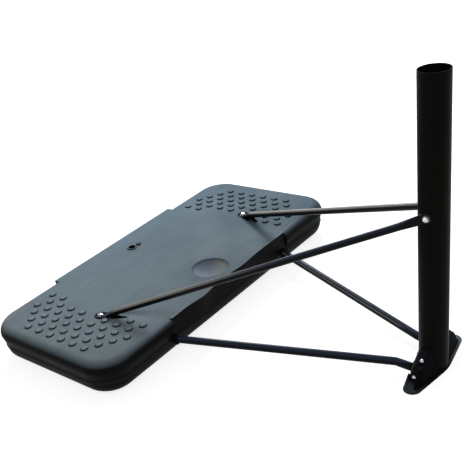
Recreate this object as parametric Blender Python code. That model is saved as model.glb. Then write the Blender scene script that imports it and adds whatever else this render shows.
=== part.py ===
"""Base and lower pole of a portable basketball hoop.

A blow-moulded ballast tank lies behind the pole. Two upper and two lower tube
struts run from it to the pole, which stands in a moulded foot.

Units are metres, +Z is up, +X points from the tank to the court side of the
pole, and the origin is on the floor on the pole's axis.
"""

import math

import bmesh
import bpy
from mathutils import Matrix, Vector

# Driving dimensions
GAP = 0.0003                # clearance between pieces that touch
OVERRUN = 0.01              # how far a cutter runs past the face it opens
LAP = 0.001                 # a form that is joined from inside stops this far under the face

# Pole
POLE_DIAMETER = 0.0889      # 3.5 inch tube
POLE_WALL = 0.0025
POLE_TOP = 0.940
POLE_BOTTOM = 0.003
POLE_SIDES = 40

# Tank
TANK_LENGTH = 1.400         # along Y
TANK_WIDTH = 0.645          # along X, across the middle part
TANK_HEIGHT = 0.143
TANK_CENTRE_X = -1.096
TANK_CENTRE_Y = 0.0155
TANK_WALL = 0.0045
TANK_CORNER_RADIUS = 0.118
CROWN_RADIUS = 0.038        # rounded shoulder of the end parts
END_STEP = 0.004            # the end parts are this much narrower on each side
MIDDLE_LENGTH = 0.696       # the sharp-edged part between the notches
MIDDLE_FRONT_INSET = 0.0165  # top edge of the middle part on the pole's side
MIDDLE_REAR_INSET = 0.0025
EDGE_SWELLS = ((-0.165, 0.010), (0.085, 0.006))  # its waves: place along Y, depth
EDGE_SWELL_LENGTH = 0.055
WAIST_HEIGHT = 0.068
WAIST_DEPTH = 0.010
LIP_HEIGHT = 0.058          # parting line of the moulding
LIP_DEPTH = 0.0025
UNDERSIDE_INSET = 0.060     # from the waist in to where the tank meets the floor
UNDERSIDE_RISE = 0.0535

# Grip studs on the tank
STUD_PITCH = 0.060          # along X
STUD_ROW_PITCH = 0.040      # along Y
STUD_END_MARGIN = 0.085     # outermost row, from the tank's end
STUD_RADIUS = 0.0135
STUD_HEIGHT = 0.0032
STUD_ROOT_SHARE = 1.2       # of its radius, one height under the face
STUD_TOP_SHARE = 0.7
STUD_SIDES = 8
STUD_CENTRE_OFFSET = 0.0025  # middle of each row, from the tank's middle
# Each row, from the outermost: studs counted in half pitches from its middle
STUD_ROWS = (
    (-5, -3, -1, 1, 3, 5),
    (-6, -4, -2, 0, 2, 4, 6),
    (-7, -5, -3, -1, 1, 3, 5, 7),
    (-8, -6, -4, -2, 0, 2, 4, 6, 8),
    (-7, -5, -3, -1, 5, 7),
    (-8, -6, 6, 8),
)

# Filler and its plug
FILL_REAR_MARGIN = 0.1140   # from the tank's rear side
FILL_Y = 0.0080
FILL_HOLE_RADIUS = 0.0165
PLUG_FLANGE_RADIUS = 0.0202
PLUG_FLANGE_THICKNESS = 0.0028
PLUG_DEPTH = 0.016
PLUG_WALL = 0.0025
PLUG_EDGE = 0.0008          # chamfer on the flange
PLUG_END_SHARE = 0.86       # its lower end tapers to this share of its radius
PLUG_TAPER_SHARE = 0.2      # of its depth
CUP_FLOOR_SHARE = 0.8
STRAP_LENGTH = 0.0345       # from the plug's centre to the peg's
STRAP_WIDTH = 0.005
STRAP_THICKNESS = 0.0016
STRAP_LIFT = 0.0004         # above the flange's underside
STRAP_LAP = 0.002           # into the flange
EYE_LAP = 0.0015            # the strap stops this far before the peg
EYE_CLEARANCE = 0.0006      # round the peg
EYE_RADIUS = 0.0105
PEG_RADIUS = 0.003
PEG_HEIGHT = 0.0045

# Round dish in the tank's top
DISH_FRONT_MARGIN = 0.1165  # from the tank's side by the pole
DISH_Y = 0.011
DISH_RADIUS = 0.066
DISH_DEPTH = 0.014
DISH_FLOOR_SHARE = 0.8      # radius of its backing at the bottom

# Bolts, nuts and washers
BOLT_DIAMETER = 0.0095
HEX_ACROSS_FLATS = 0.0150
HEX_HEIGHT = 0.0062
HEX_CHAMFER_SHARE = 0.2     # of its height
HEX_FACE_SHARE = 0.86       # of its radius, at the face
DOME_RADIUS = 0.0085
DOME_HEIGHT = 0.0055
WASHER_RADIUS = 0.0115
WASHER_THICKNESS = 0.0018
BOLT_END = 0.003            # bolt past its nut

# Strut anchors in the tank's top
ANCHOR_OFFSET = 0.051       # from the tank's middle towards the pole
ANCHOR_END_MARGIN = 0.263   # from the tank's end
POCKET_DEPTH = 0.006
POCKET_RADIUS = 0.0225
POCKET_LENGTH = 0.105
POCKET_LEVEL = 0.030        # its floor is level this far, then it rises
POCKET_SHOULDER_SHARE = 0.8  # its half width there, of its radius
POCKET_TIP_HALF_WIDTH = 0.004
POCKET_FLOOR_SHARE = 0.86   # its sides slope: size at the floor
POCKET_RIM_SHARE = 1.1
VALLEY_DEPTH = 0.0045       # shallow fan that opens from the pocket to the edge
VALLEY_LENGTH = 0.225
VALLEY_START = (0.029, 0.045)  # its two sides at the pocket, inwards from the anchor
VALLEY_MOUTH = (0.053, 0.140)  # the same at the tank's edge
VALLEY_SLOPE = 0.005        # its floor is this much narrower on each side
VALLEY_RIM = 0.002
VALLEY_WALL = 0.006         # the shell is thicker this far round it
VALLEY_BACKING_RISE = 0.75
WELL_TOP_RADIUS = 0.020     # slightly tapered well under each anchor, open below
WELL_BOTTOM_RADIUS = 0.024
WELL_ROOF = 0.010           # material under the pocket floor

# Struts
STRUT_SIDES = 16            # a multiple of 4, so that a section can turn by a quarter
FLAT_SQUARENESS = 0.45      # 1 is an ellipse, smaller is nearer a rectangle
FLAT_TIP_SHARES = (-0.97, -0.8, -0.45)  # stations of its round tip, in half widths
FLAT_END_SHARE = 0.9        # it stays flat this far past the bolt

# Upper struts
UPPER_TUBE_DIAMETER = 0.0235
UPPER_BOLT_Z = 0.533
UPPER_FLAT_WIDTH = 0.030
UPPER_FLAT_THICKNESS = 0.004
UPPER_PRESS_LENGTH = 0.062  # from the anchor to where the tube is round
UPPER_PRESS_RISE = 0.35     # climb along that length
UPPER_TOP_PRESS = 0.080     # the same at the pole, along X
UPPER_TOP_SPREAD = 0.0285   # the tube stands this far outside its flat end

# Lower struts
LOWER_TUBE_DIAMETER = 0.027
LOWER_FLAT_WIDTH = 0.034
LOWER_FLAT_THICKNESS = 0.005
SOCKET_Y = 0.3409           # where the tube's axis meets the tank's wall
SOCKET_Z = 0.0618
SOCKET_DEPTH = 0.070
SOCKET_WALL = 0.004
SOCKET_TUBE_INSET = 0.012   # the socket's own wall begins this far inside the mouth
SOCKET_END_CLEARANCE = 0.002
COLLAR_RADIUS = 0.0195
COLLAR_THICKNESS = 0.004
COLLAR_OFFSET = 0.0045      # clears the parting lip and the flare above the waist
BEND_X = -0.0885            # the tube is pressed flat from here on
BEND_Y = 0.0775
BEND_Z = 0.0309
BEND_LENGTH = 0.020
LOWER_BOLT_X = -0.008
LOWER_BOLT_Z = 0.0195
LOWER_BOLT_HEAD_Y = 0.1145

# Foot
FOOT_HALF_LENGTH = 0.1735
FOOT_FRONT = 0.0475         # front edge on the centre line
FOOT_SWEEP = 0.165          # how steeply that edge runs back to the tips
FOOT_NOSE = 0.020           # length over which it rounds at the centre
FOOT_TIP_RADIUS = 0.0265
FOOT_TIP_X = -0.0015
FOOT_REAR = 0.058
FOOT_REAR_SHOULDER_Y = 0.070
FOOT_REAR_SHOULDER_X = -0.0475
FLANGE_THICKNESS = 0.0042
FLANGE_WIDTH = 0.0075
FOOT_WALL = 0.004
WING_TOP_FRONT_X = 0.016
WING_TOP_REAR_X = -0.030
WING_CORNER_RADIUS = 0.009
CHEEK_HALF_WIDTH = 0.046    # the wings keep their full height this far out
CHEEK_FRONT_Z = 0.090
CHEEK_REAR_Z = 0.076
WING_END_Y = 0.150
WING_END_Z = 0.0068
FRONT_RIDGE_BOW = 2.3       # above 1 the ridge bulges, below 1 it sags
REAR_RIDGE_BOW = 0.82
WING_FRONT_SLOPE = 0.006    # least run of the wing's front and rear walls
WING_REAR_SLOPE = 0.004
WING_CORNER_SHARE = 0.45    # a low wing's corner, of its height
WING_CORNER_LEAST = 0.001
FOOT_BOLT_X = 0.004
FOOT_BOLT_Z = 0.067
FOOT_BOLT_HEAD_Y = 0.0855
SPOTFACE_RADIUS = 0.0115
NOTCH_FRONT_X = 0.0045      # the wing is cut away behind here, round the lower bolt
HOLLOW_END_Y = 0.1060       # each wing is hollow from the strut's seat to here
HOLLOW_TOP = 0.0445
STRUT_DOOR_TOP = 0.048      # opening in the rear wall for the strut's flat end
STRUT_DOOR_INSET = 0.0025   # its middle, from the tube's
STRUT_DOOR_CLEARANCE = 0.002

# Values that follow
POLE_RADIUS = POLE_DIAMETER / 2
BOLT_RADIUS = BOLT_DIAMETER / 2
BOLT_HOLE_RADIUS = BOLT_RADIUS + 2 * GAP
STUD_CENTRE_X = TANK_CENTRE_X + STUD_CENTRE_OFFSET
STUD_FIRST_ROW = TANK_LENGTH / 2 - STUD_END_MARGIN
FILL_X = TANK_CENTRE_X - TANK_WIDTH / 2 + FILL_REAR_MARGIN
DISH_X = TANK_CENTRE_X + TANK_WIDTH / 2 - DISH_FRONT_MARGIN
ANCHOR_X = TANK_CENTRE_X + ANCHOR_OFFSET
ANCHOR_Y = TANK_LENGTH / 2 - ANCHOR_END_MARGIN
POCKET_FLOOR = TANK_HEIGHT - POCKET_DEPTH
UPPER_FLAT_Y = POLE_RADIUS + GAP + UPPER_FLAT_THICKNESS / 2
LOWER_FLAT_Y = BEND_Y - (LOWER_TUBE_DIAMETER - LOWER_FLAT_THICKNESS) / 4
TANK_SIDE_X = TANK_CENTRE_X + TANK_WIDTH / 2 - END_STEP - WAIST_DEPTH  # wall at the sockets
SIDES = (("near", -1), ("far", 1))


def material(name, colour, roughness, metallic):
    """Return a Principled material with the given colour and finish."""
    made = bpy.data.materials.new(name)
    made.use_nodes = True
    shader = made.node_tree.nodes["Principled BSDF"]
    shader.inputs["Base Color"].default_value = (*colour, 1.0)
    shader.inputs["Roughness"].default_value = roughness
    shader.inputs["Metallic"].default_value = metallic
    return made


def make_object(name, bm, surface, crease=35):
    """Turn a bmesh into a named object, smooth apart from its sharp edges."""
    bmesh.ops.remove_doubles(bm, verts=bm.verts, dist=1e-6)
    bmesh.ops.recalc_face_normals(bm, faces=bm.faces)
    mesh = bpy.data.meshes.new(name)
    bm.to_mesh(mesh)
    bm.free()
    mesh.shade_smooth()
    mesh.set_sharp_from_angle(angle=math.radians(crease))
    mesh.materials.append(surface)
    made = bpy.data.objects.new(name, mesh)
    bpy.context.scene.collection.objects.link(made)
    return made


def make_tool(name, bm):
    """Make a hidden helper that a Boolean modifier uses."""
    tool = make_object(name, bm, TOOL_MATERIAL)
    tool.hide_render = True
    tool.display_type = "WIRE"
    return tool


def combine(target, tool, operation):
    """Add an exact Boolean modifier to the target."""
    modifier = target.modifiers.new(tool.name, "BOOLEAN")
    modifier.operation = operation
    modifier.solver = "EXACT"
    modifier.object = tool


def loft(rings, bm=None):
    """Skin a row of rings that have equal point counts, and cap both ends."""
    if bm is None:
        bm = bmesh.new()
    loops = [[bm.verts.new(point) for point in ring] for ring in rings]
    count = len(loops[0])
    for lower, upper in zip(loops, loops[1:]):
        for i in range(count):
            j = (i + 1) % count
            bm.faces.new((lower[i], lower[j], upper[j], upper[i]))
    bm.faces.new(list(reversed(loops[0])))
    bm.faces.new(loops[-1])
    return bm


def circle(radius, sides, phase=0.0):
    """Points of a circle round the origin, in a plane."""
    return [
        (radius * math.cos(phase + math.tau * i / sides), radius * math.sin(phase + math.tau * i / sides))
        for i in range(sides)
    ]


def turned(profile, axis, centre, sides, bm=None, phase=0.0):
    """Loft a solid of revolution from (distance along axis, radius) pairs."""
    turn = Vector((0, 0, 1)).rotation_difference(Vector(axis)).to_matrix()
    rings = []
    for along, radius in profile:
        ring = [turn @ Vector((x, y, along)) + Vector(centre) for x, y in circle(radius, sides, phase)]
        rings.append(ring)
    return loft(rings, bm)


def rod(start, end, radius, sides=20, bm=None):
    """A plain round bar between two points."""
    start = Vector(start)
    end = Vector(end)
    return turned([(0, radius), ((end - start).length, radius)], end - start, start, sides, bm)


def tube(start, end, outer, inner, sides):
    """A pipe between two points, open at both ends."""
    start = Vector(start)
    end = Vector(end)
    length = (end - start).length
    turn = Vector((0, 0, 1)).rotation_difference(end - start).to_matrix()
    bm = bmesh.new()
    loops = []
    for along, radius in ((0, outer), (length, outer), (length, inner), (0, inner)):
        points = [turn @ Vector((x, y, along)) + start for x, y in circle(radius, sides)]
        loops.append([bm.verts.new(point) for point in points])
    for k in range(4):
        first = loops[k]
        second = loops[(k + 1) % 4]
        for i in range(sides):
            j = (i + 1) % sides
            bm.faces.new((first[i], first[j], second[j], second[i]))
    return bm


# Tank

def tank_columns(inset, stepped):
    """Walk round the tank's outline: (point, outward normal, is the edge sharp)."""
    half_x = TANK_WIDTH / 2 - inset
    half_y = TANK_LENGTH / 2 - inset
    radius = TANK_CORNER_RADIUS - inset
    end_x = half_x - END_STEP
    steps = 7
    columns = []
    for quarter in range(4):
        sign_x = 1 if quarter in (0, 3) else -1
        sign_y = 1 if quarter in (0, 1) else -1
        for k in range(steps + 1):
            angle = math.radians(90 * (quarter + k / steps))
            normal = Vector((math.cos(angle), math.sin(angle)))
            centre = Vector((sign_x * (end_x - radius), sign_y * (half_y - radius)))
            columns.append((centre + radius * normal, normal, False))
        if stepped and quarter in (1, 3):
            columns += middle_columns(sign_x, end_x, half_x)
    return columns


def middle_columns(sign_x, end_x, half_x):
    """Columns of the sharp-edged middle part, between its two notches."""
    half = MIDDLE_LENGTH / 2
    normal = Vector((sign_x, 0))
    pieces = 18 if sign_x > 0 else 2
    columns = [(Vector((sign_x * end_x, -sign_x * half)), normal, False)]
    for k in range(pieces + 1):
        y = sign_x * half * (2 * k / pieces - 1)
        columns.append((Vector((sign_x * half_x, y)), normal, True))
    columns.append((Vector((sign_x * end_x, sign_x * half)), normal, False))
    return columns


def edge_inset(point, drop):
    """Inset of the middle part's wall: waved at its top, flush below the waist."""
    if point.x < 0:
        top = MIDDLE_REAR_INSET
    else:
        top = MIDDLE_FRONT_INSET
        for place, depth in EDGE_SWELLS:
            top -= depth * math.exp(-((point.y - place) / EDGE_SWELL_LENGTH) ** 2)
    return top + min(drop, 1) * (END_STEP + WAIST_DEPTH - top)


def tank_levels(wall, crown_steps, base_steps):
    """Inset and height of each level of the skin, from the top down."""
    top = TANK_HEIGHT - wall
    levels = []
    for k in range(crown_steps + 1):
        turn = math.radians(90 * k / crown_steps)
        levels.append((CROWN_RADIUS * (1 - math.sin(turn)), top - CROWN_RADIUS * (1 - math.cos(turn))))
    levels.append((WAIST_DEPTH, WAIST_HEIGHT))
    if wall == 0:
        levels.append((WAIST_DEPTH, LIP_HEIGHT + 2 * LIP_DEPTH))
        levels.append((WAIST_DEPTH - LIP_DEPTH, LIP_HEIGHT))
    for k in range(base_steps + 1):
        turn = math.radians(90 * k / base_steps)
        inward = UNDERSIDE_INSET * (1 - math.cos(turn))
        levels.append((WAIST_DEPTH + inward, wall + UNDERSIDE_RISE * (1 - math.sin(turn))))
    return levels


def tank_shape(wall, crown_steps, base_steps):
    """The tank's outer skin, or with a wall the space inside it."""
    columns = tank_columns(wall, wall == 0)
    rings = []
    for inset, height in tank_levels(wall, crown_steps, base_steps):
        drop = (TANK_HEIGHT - height) / (TANK_HEIGHT - WAIST_HEIGHT)
        if wall > 0:
            inset = max(inset, MIDDLE_FRONT_INSET - END_STEP)
        ring = []
        for point, normal, sharp in columns:
            here = inset
            if sharp:
                here = edge_inset(point, drop)
                if drop >= 1:
                    here = END_STEP + inset
            x, y = point - here * normal
            ring.append(Vector((TANK_CENTRE_X + x, TANK_CENTRE_Y + y, height)))
        rings.append(ring)
    return loft(rings)


def grip_studs():
    """All the low studs of both grip fields, as one helper."""
    bm = bmesh.new()
    root = STUD_ROOT_SHARE * STUD_RADIUS
    profile = ((-STUD_HEIGHT, root), (STUD_HEIGHT, STUD_TOP_SHARE * STUD_RADIUS))
    for _, side in SIDES:
        for row, places in enumerate(STUD_ROWS):
            y = side * (STUD_FIRST_ROW - row * STUD_ROW_PITCH)
            for place in places:
                centre = (STUD_CENTRE_X + place * STUD_PITCH / 2, y, TANK_HEIGHT)
                turned(profile, (0, 0, 1), centre, STUD_SIDES, bm, math.pi / STUD_SIDES)
    return bm


def strut_heading(side):
    """Level direction in which an upper strut leaves its anchor."""
    return Vector((-ANCHOR_X, side * (UPPER_FLAT_Y - ANCHOR_Y), 0)).normalized()


def pocket_cutter(side):
    """Teardrop recess round an anchor, its floor rising to a point."""
    heading = strut_heading(side)
    across = Vector((-heading.y, heading.x, 0))
    anchor = Vector((ANCHOR_X, side * ANCHOR_Y, 0))
    outline = []
    for k in range(9):
        turn = math.radians(90 + 180 * k / 8)
        outline.append(POCKET_RADIUS * (math.cos(turn) * heading + math.sin(turn) * across))
    shoulder = POCKET_SHOULDER_SHARE * POCKET_RADIUS
    for along, aside in ((POCKET_LEVEL, -shoulder), (POCKET_LENGTH, -POCKET_TIP_HALF_WIDTH)):
        outline.append(along * heading + aside * across)
    for along, aside in ((POCKET_LENGTH, POCKET_TIP_HALF_WIDTH), (POCKET_LEVEL, shoulder)):
        outline.append(along * heading + aside * across)
    floor = []
    rim = []
    for point in outline:
        rise = max(point.dot(heading) - POCKET_LEVEL, 0) / (POCKET_LENGTH - POCKET_LEVEL)
        floor.append(anchor + POCKET_FLOOR_SHARE * point + Vector((0, 0, POCKET_FLOOR + rise * POCKET_DEPTH)))
        rim.append(anchor + POCKET_RIM_SHARE * point + Vector((0, 0, TANK_HEIGHT + OVERRUN / 5)))
    bm = loft([floor, rim])
    bm.verts.ensure_lookup_table()
    bmesh.ops.connect_vert_pair(bm, verts=[bm.verts[9], bm.verts[12]])
    return bm


def valley_outline(side, grow):
    """Plan of the shallow fan between a pocket and the tank's edge."""
    near = ANCHOR_X + POCKET_LEVEL - grow
    far = ANCHOR_X + VALLEY_LENGTH
    corners = (
        (near, ANCHOR_Y - VALLEY_START[0] + grow),
        (near, ANCHOR_Y - VALLEY_START[1] - grow),
        (far, ANCHOR_Y - VALLEY_MOUTH[1] - grow),
        (far, ANCHOR_Y - VALLEY_MOUTH[0] + grow),
    )
    return [(x, side * y) for x, y in corners]


def valley_cutter(side):
    """The fan itself: deepest at the pocket and fading out before the edge."""
    floor = []
    rim = []
    rise = OVERRUN / 10
    depths = (VALLEY_DEPTH, VALLEY_DEPTH, -rise / 2, -rise / 2)
    for (x, y), depth in zip(valley_outline(side, -VALLEY_SLOPE), depths):
        floor.append(Vector((x, y, TANK_HEIGHT - depth)))
    for x, y in valley_outline(side, VALLEY_RIM):
        rim.append(Vector((x, y, TANK_HEIGHT + rise)))
    return loft([floor, rim])


def valley_backing(side):
    """The same fan on the inside of the shell, so that its wall stays whole."""
    top = [Vector((x, y, TANK_HEIGHT - LAP)) for x, y in valley_outline(side, VALLEY_WALL)]
    sunk = TANK_HEIGHT - TANK_WALL - VALLEY_DEPTH
    low = []
    for x, y in valley_outline(side, VALLEY_WALL):
        share = (x - ANCHOR_X) / VALLEY_LENGTH
        low.append(Vector((x, y, sunk + share * VALLEY_BACKING_RISE * VALLEY_DEPTH)))
    return loft([low, top])


def tank_additions():
    """Everything that stands inside the shell, in the order it is joined."""
    parts = []
    for name, side in SIDES:
        well = turned(
            ((LAP, WELL_BOTTOM_RADIUS + TANK_WALL), (TANK_HEIGHT - LAP, WELL_TOP_RADIUS + TANK_WALL)),
            (0, 0, 1), (ANCHOR_X, side * ANCHOR_Y, 0), 20)
        parts.append(make_tool(f"{name}_well_column", well))
        parts.append(make_tool(f"{name}_valley_backing", valley_backing(side)))
        mouth, axis = socket_line(side)
        start = mouth - (SOCKET_DEPTH + SOCKET_WALL) * axis
        radius = LOWER_TUBE_DIAMETER / 2 + GAP + SOCKET_WALL
        end = mouth - SOCKET_TUBE_INSET * axis
        parts.append(make_tool(f"{name}_socket_tube", rod(start, end, radius, 16)))
    floor = (-DISH_DEPTH - TANK_WALL, DISH_FLOOR_SHARE * DISH_RADIUS)
    backing = turned((floor, (-LAP, DISH_RADIUS + TANK_WALL)),
                     (0, 0, 1), (DISH_X, DISH_Y, TANK_HEIGHT), 24)
    parts.append(make_tool("dish_backing", backing))
    neck = rod((FILL_X, FILL_Y, TANK_HEIGHT - PLUG_DEPTH), (FILL_X, FILL_Y, TANK_HEIGHT - LAP),
               FILL_HOLE_RADIUS + TANK_WALL, 20)
    parts.append(make_tool("filler_neck", neck))
    peg = rod((FILL_X, FILL_Y + STRAP_LENGTH, TANK_HEIGHT - LAP),
              (FILL_X, FILL_Y + STRAP_LENGTH, TANK_HEIGHT + PEG_HEIGHT), PEG_RADIUS, 12)
    parts.append(make_tool("strap_peg", peg))
    return parts


def dish_cutter():
    """A shallow cap of a sphere, cut into the tank's top."""
    profile = []
    for k in range(5):
        share = (k + 1) / 5
        profile.append((-DISH_DEPTH * (1 - share * share), DISH_RADIUS * share))
    slope = 2 * DISH_DEPTH / DISH_RADIUS
    profile.append((OVERRUN / 5, DISH_RADIUS + OVERRUN / 5 / slope))
    return turned(profile, (0, 0, 1), (DISH_X, DISH_Y, TANK_HEIGHT), 24)


def tank_cutters():
    """Everything that is cut from the shell, in the order it is cut."""
    parts = [make_tool("dish_cutter", dish_cutter())]
    for name, side in SIDES:
        centre = (ANCHOR_X, side * ANCHOR_Y, 0)
        roof = POCKET_FLOOR - WELL_ROOF
        well = turned(((-OVERRUN, WELL_BOTTOM_RADIUS), (roof, WELL_TOP_RADIUS)), (0, 0, 1), centre, 20)
        hole = rod(Vector(centre) + Vector((0, 0, roof - OVERRUN)),
                   Vector(centre) + Vector((0, 0, TANK_HEIGHT + OVERRUN)), BOLT_HOLE_RADIUS, 12)
        mouth, axis = socket_line(side)
        bore = rod(mouth - SOCKET_DEPTH * axis, mouth + 3 * OVERRUN * axis,
                   LOWER_TUBE_DIAMETER / 2 + GAP, 16)
        parts.append(make_tool(f"{name}_valley_cutter", valley_cutter(side)))
        parts.append(make_tool(f"{name}_pocket_cutter", pocket_cutter(side)))
        parts.append(make_tool(f"{name}_well_cutter", well))
        parts.append(make_tool(f"{name}_anchor_hole", hole))
        parts.append(make_tool(f"{name}_socket_bore", bore))
    fill = rod((FILL_X, FILL_Y, TANK_HEIGHT - PLUG_DEPTH - OVERRUN),
               (FILL_X, FILL_Y, TANK_HEIGHT + OVERRUN), FILL_HOLE_RADIUS, 20)
    parts.append(make_tool("filler_hole", fill))
    return parts


def make_tank(surface):
    """The hollow ballast tank with its studs, pockets, wells and sockets."""
    tank = make_object("tank", tank_shape(0.0, 5, 5), surface)
    combine(tank, make_tool("tank_studs", grip_studs()), "UNION")
    combine(tank, make_tool("tank_cavity", tank_shape(TANK_WALL, 3, 3)), "DIFFERENCE")
    for part in tank_additions():
        combine(tank, part, "UNION")
    for part in tank_cutters():
        combine(tank, part, "DIFFERENCE")
    return tank


def make_fill_plug(surface):
    """Push-in plug: a cup with a flange, and a strap with an eye on the peg."""
    top = TANK_HEIGHT + GAP + PLUG_FLANGE_THICKNESS
    seat = TANK_HEIGHT + GAP
    body = FILL_HOLE_RADIUS - 2 * GAP
    profile = (
        (seat - PLUG_DEPTH, PLUG_END_SHARE * body),
        (seat - (1 - PLUG_TAPER_SHARE) * PLUG_DEPTH, body),
        (seat, body),
        (seat, PLUG_FLANGE_RADIUS),
        (top - PLUG_EDGE, PLUG_FLANGE_RADIUS),
        (top, PLUG_FLANGE_RADIUS - PLUG_EDGE),
    )
    plug = make_object("fill_plug", turned(profile, (0, 0, 1), (FILL_X, FILL_Y, 0), 24), surface)
    bm = bmesh.new()
    half = STRAP_WIDTH / 2
    strap_start = FILL_Y + PLUG_FLANGE_RADIUS - STRAP_LAP
    strap_end = FILL_Y + STRAP_LENGTH - PEG_RADIUS - EYE_LAP
    corners = [(-half, strap_start), (half, strap_start), (half, strap_end), (-half, strap_end)]
    low = seat + STRAP_LIFT
    rings = [[Vector((FILL_X + x, y, z)) for x, y in corners] for z in (low, low + STRAP_THICKNESS)]
    combine(plug, make_tool("strap_band", loft(rings, bm)), "UNION")
    eye_centre = (FILL_X, FILL_Y + STRAP_LENGTH, 0)
    eye = turned(((low, EYE_RADIUS), (low + STRAP_THICKNESS, EYE_RADIUS)), (0, 0, 1), eye_centre, 18)
    combine(plug, make_tool("strap_eye", eye), "UNION")
    bore = PEG_RADIUS + EYE_CLEARANCE
    eye_hole = turned(((low - OVERRUN / 2, bore), (low + OVERRUN / 2, bore)), (0, 0, 1), eye_centre, 12)
    combine(plug, make_tool("strap_eye_hole", eye_hole), "DIFFERENCE")
    inside = body - PLUG_WALL
    cup_profile = ((seat - PLUG_DEPTH + PLUG_WALL, CUP_FLOOR_SHARE * inside), (top + OVERRUN, inside))
    cup = turned(cup_profile, (0, 0, 1), (FILL_X, FILL_Y, 0), 20)
    combine(plug, make_tool("plug_cup", cup), "DIFFERENCE")
    return plug


# Struts

def strut_rings(stations, quarter_turns=0):
    """Rings of a tube that is round or pressed flat at each station."""
    rings = []
    for k, (centre, normal, half_width, half_thickness, squareness) in enumerate(stations):
        before = stations[max(k - 1, 0)][0]
        after = stations[min(k + 1, len(stations) - 1)][0]
        tangent = (after - before).normalized()
        up = (normal - normal.dot(tangent) * tangent).normalized()
        across = tangent.cross(up)
        ring = []
        for i in range(STRUT_SIDES):
            angle = math.tau * ((i + 0.5) / STRUT_SIDES + quarter_turns / 4)
            wide = math.copysign(abs(math.cos(angle)) ** squareness, math.cos(angle))
            thick = math.copysign(abs(math.sin(angle)) ** squareness, math.sin(angle))
            ring.append(centre + half_width * wide * across + half_thickness * thick * up)
        rings.append(ring)
    return rings


def flat_end(eye, away, normal, width, thickness):
    """Stations of a flattened end, from its round tip to just past the bolt."""
    half = width / 2
    stations = []
    for share in FLAT_TIP_SHARES:
        reach = eye + share * half * away
        half_width = half * math.sqrt(1 - share * share)
        stations.append((reach, normal, half_width, thickness / 2, FLAT_SQUARENESS))
    stations.append((eye + FLAT_END_SHARE * half * away, normal, half, thickness / 2, FLAT_SQUARENESS))
    return stations


def press(start, end, start_size, radius, normal):
    """Stations that blend a flattened section into a round one."""
    stations = []
    steps = 4
    for k in range(1, steps + 1):
        share = k / steps
        ease = share * share * (3 - 2 * share)
        width = start_size[0] + ease * (radius - start_size[0])
        thick = start_size[1] + ease * (radius - start_size[1])
        square = FLAT_SQUARENESS + ease * (1 - FLAT_SQUARENESS)
        stations.append((start.lerp(end, share), normal, width, thick, square))
    return stations


def make_upper_strut(name, side, surface):
    """Round tube with both ends pressed flat: level at the tank, upright at the pole."""
    radius = UPPER_TUBE_DIAMETER / 2
    size = (UPPER_FLAT_WIDTH / 2, UPPER_FLAT_THICKNESS / 2)
    up = Vector((0, 0, 1))
    aside = Vector((0, side, 0))
    heading = strut_heading(side)
    anchor = Vector((ANCHOR_X, side * ANCHOR_Y, POCKET_FLOOR + GAP + UPPER_FLAT_THICKNESS / 2))
    bolt = Vector((0, side * UPPER_FLAT_Y, UPPER_BOLT_Z))
    climb = (UPPER_BOLT_Z - TANK_HEIGHT) / -ANCHOR_X
    rise = UPPER_PRESS_RISE * UPPER_PRESS_LENGTH
    tube_low = anchor + UPPER_PRESS_LENGTH * heading + Vector((0, 0, rise))
    spread = UPPER_FLAT_Y + UPPER_TOP_SPREAD
    tube_high = Vector((-UPPER_TOP_PRESS, side * spread, UPPER_BOLT_Z - UPPER_TOP_PRESS * climb))
    away_pole = Vector((-1, 0, -climb)).normalized()
    low = flat_end(anchor, heading, up, UPPER_FLAT_WIDTH, UPPER_FLAT_THICKNESS)
    low += press(low[-1][0], tube_low, size, radius, up)
    high = flat_end(bolt, away_pole, aside, UPPER_FLAT_WIDTH, UPPER_FLAT_THICKNESS)
    high += press(high[-1][0], tube_high, size, radius, aside)
    rings = strut_rings(low + high[::-1])[len(low):]
    rings = strut_rings(low + high[::-1], side)[:len(low)] + rings
    strut = make_object(name, loft(rings), surface, 50)
    for label, centre, axis in (("low", anchor, up), ("high", bolt, aside)):
        hole = rod(centre - OVERRUN * axis, centre + OVERRUN * axis, BOLT_HOLE_RADIUS, 14)
        combine(strut, make_tool(f"{name}_{label}_hole", hole), "DIFFERENCE")
    return strut


def socket_line(side):
    """Where a lower strut meets the tank's wall, and its direction from there."""
    mouth = Vector((TANK_SIDE_X, side * SOCKET_Y, SOCKET_Z))
    bend = Vector((BEND_X, side * BEND_Y, BEND_Z))
    return mouth, (bend - mouth).normalized()


def make_lower_strut(name, side, surface):
    """Thicker tube: plain in the tank's socket, pressed flat inside the foot."""
    radius = LOWER_TUBE_DIAMETER / 2
    size = (LOWER_FLAT_WIDTH / 2, LOWER_FLAT_THICKNESS / 2)
    aside = Vector((0, side, 0))
    mouth, axis = socket_line(side)
    bend = Vector((BEND_X, side * BEND_Y, BEND_Z))
    bolt = Vector((LOWER_BOLT_X, side * LOWER_FLAT_Y, LOWER_BOLT_Z))
    away = Vector((BEND_X - LOWER_BOLT_X, 0, BEND_Z - LOWER_BOLT_Z)).normalized()
    flat = flat_end(bolt, away, aside, LOWER_FLAT_WIDTH, LOWER_FLAT_THICKNESS)
    flat += press(flat[-1][0], bend, size, radius, aside)
    plain = [(mouth - (SOCKET_DEPTH - SOCKET_END_CLEARANCE) * axis, aside, radius, radius, 1.0)]
    plain.append((bend - BEND_LENGTH * axis, aside, radius, radius, 1.0))
    strut = make_object(name, loft(strut_rings(plain + flat[::-1])), surface, 50)
    hole = rod(bolt - OVERRUN * aside, bolt + OVERRUN * aside, BOLT_HOLE_RADIUS, 14)
    combine(strut, make_tool(f"{name}_hole", hole), "DIFFERENCE")
    return strut


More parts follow.
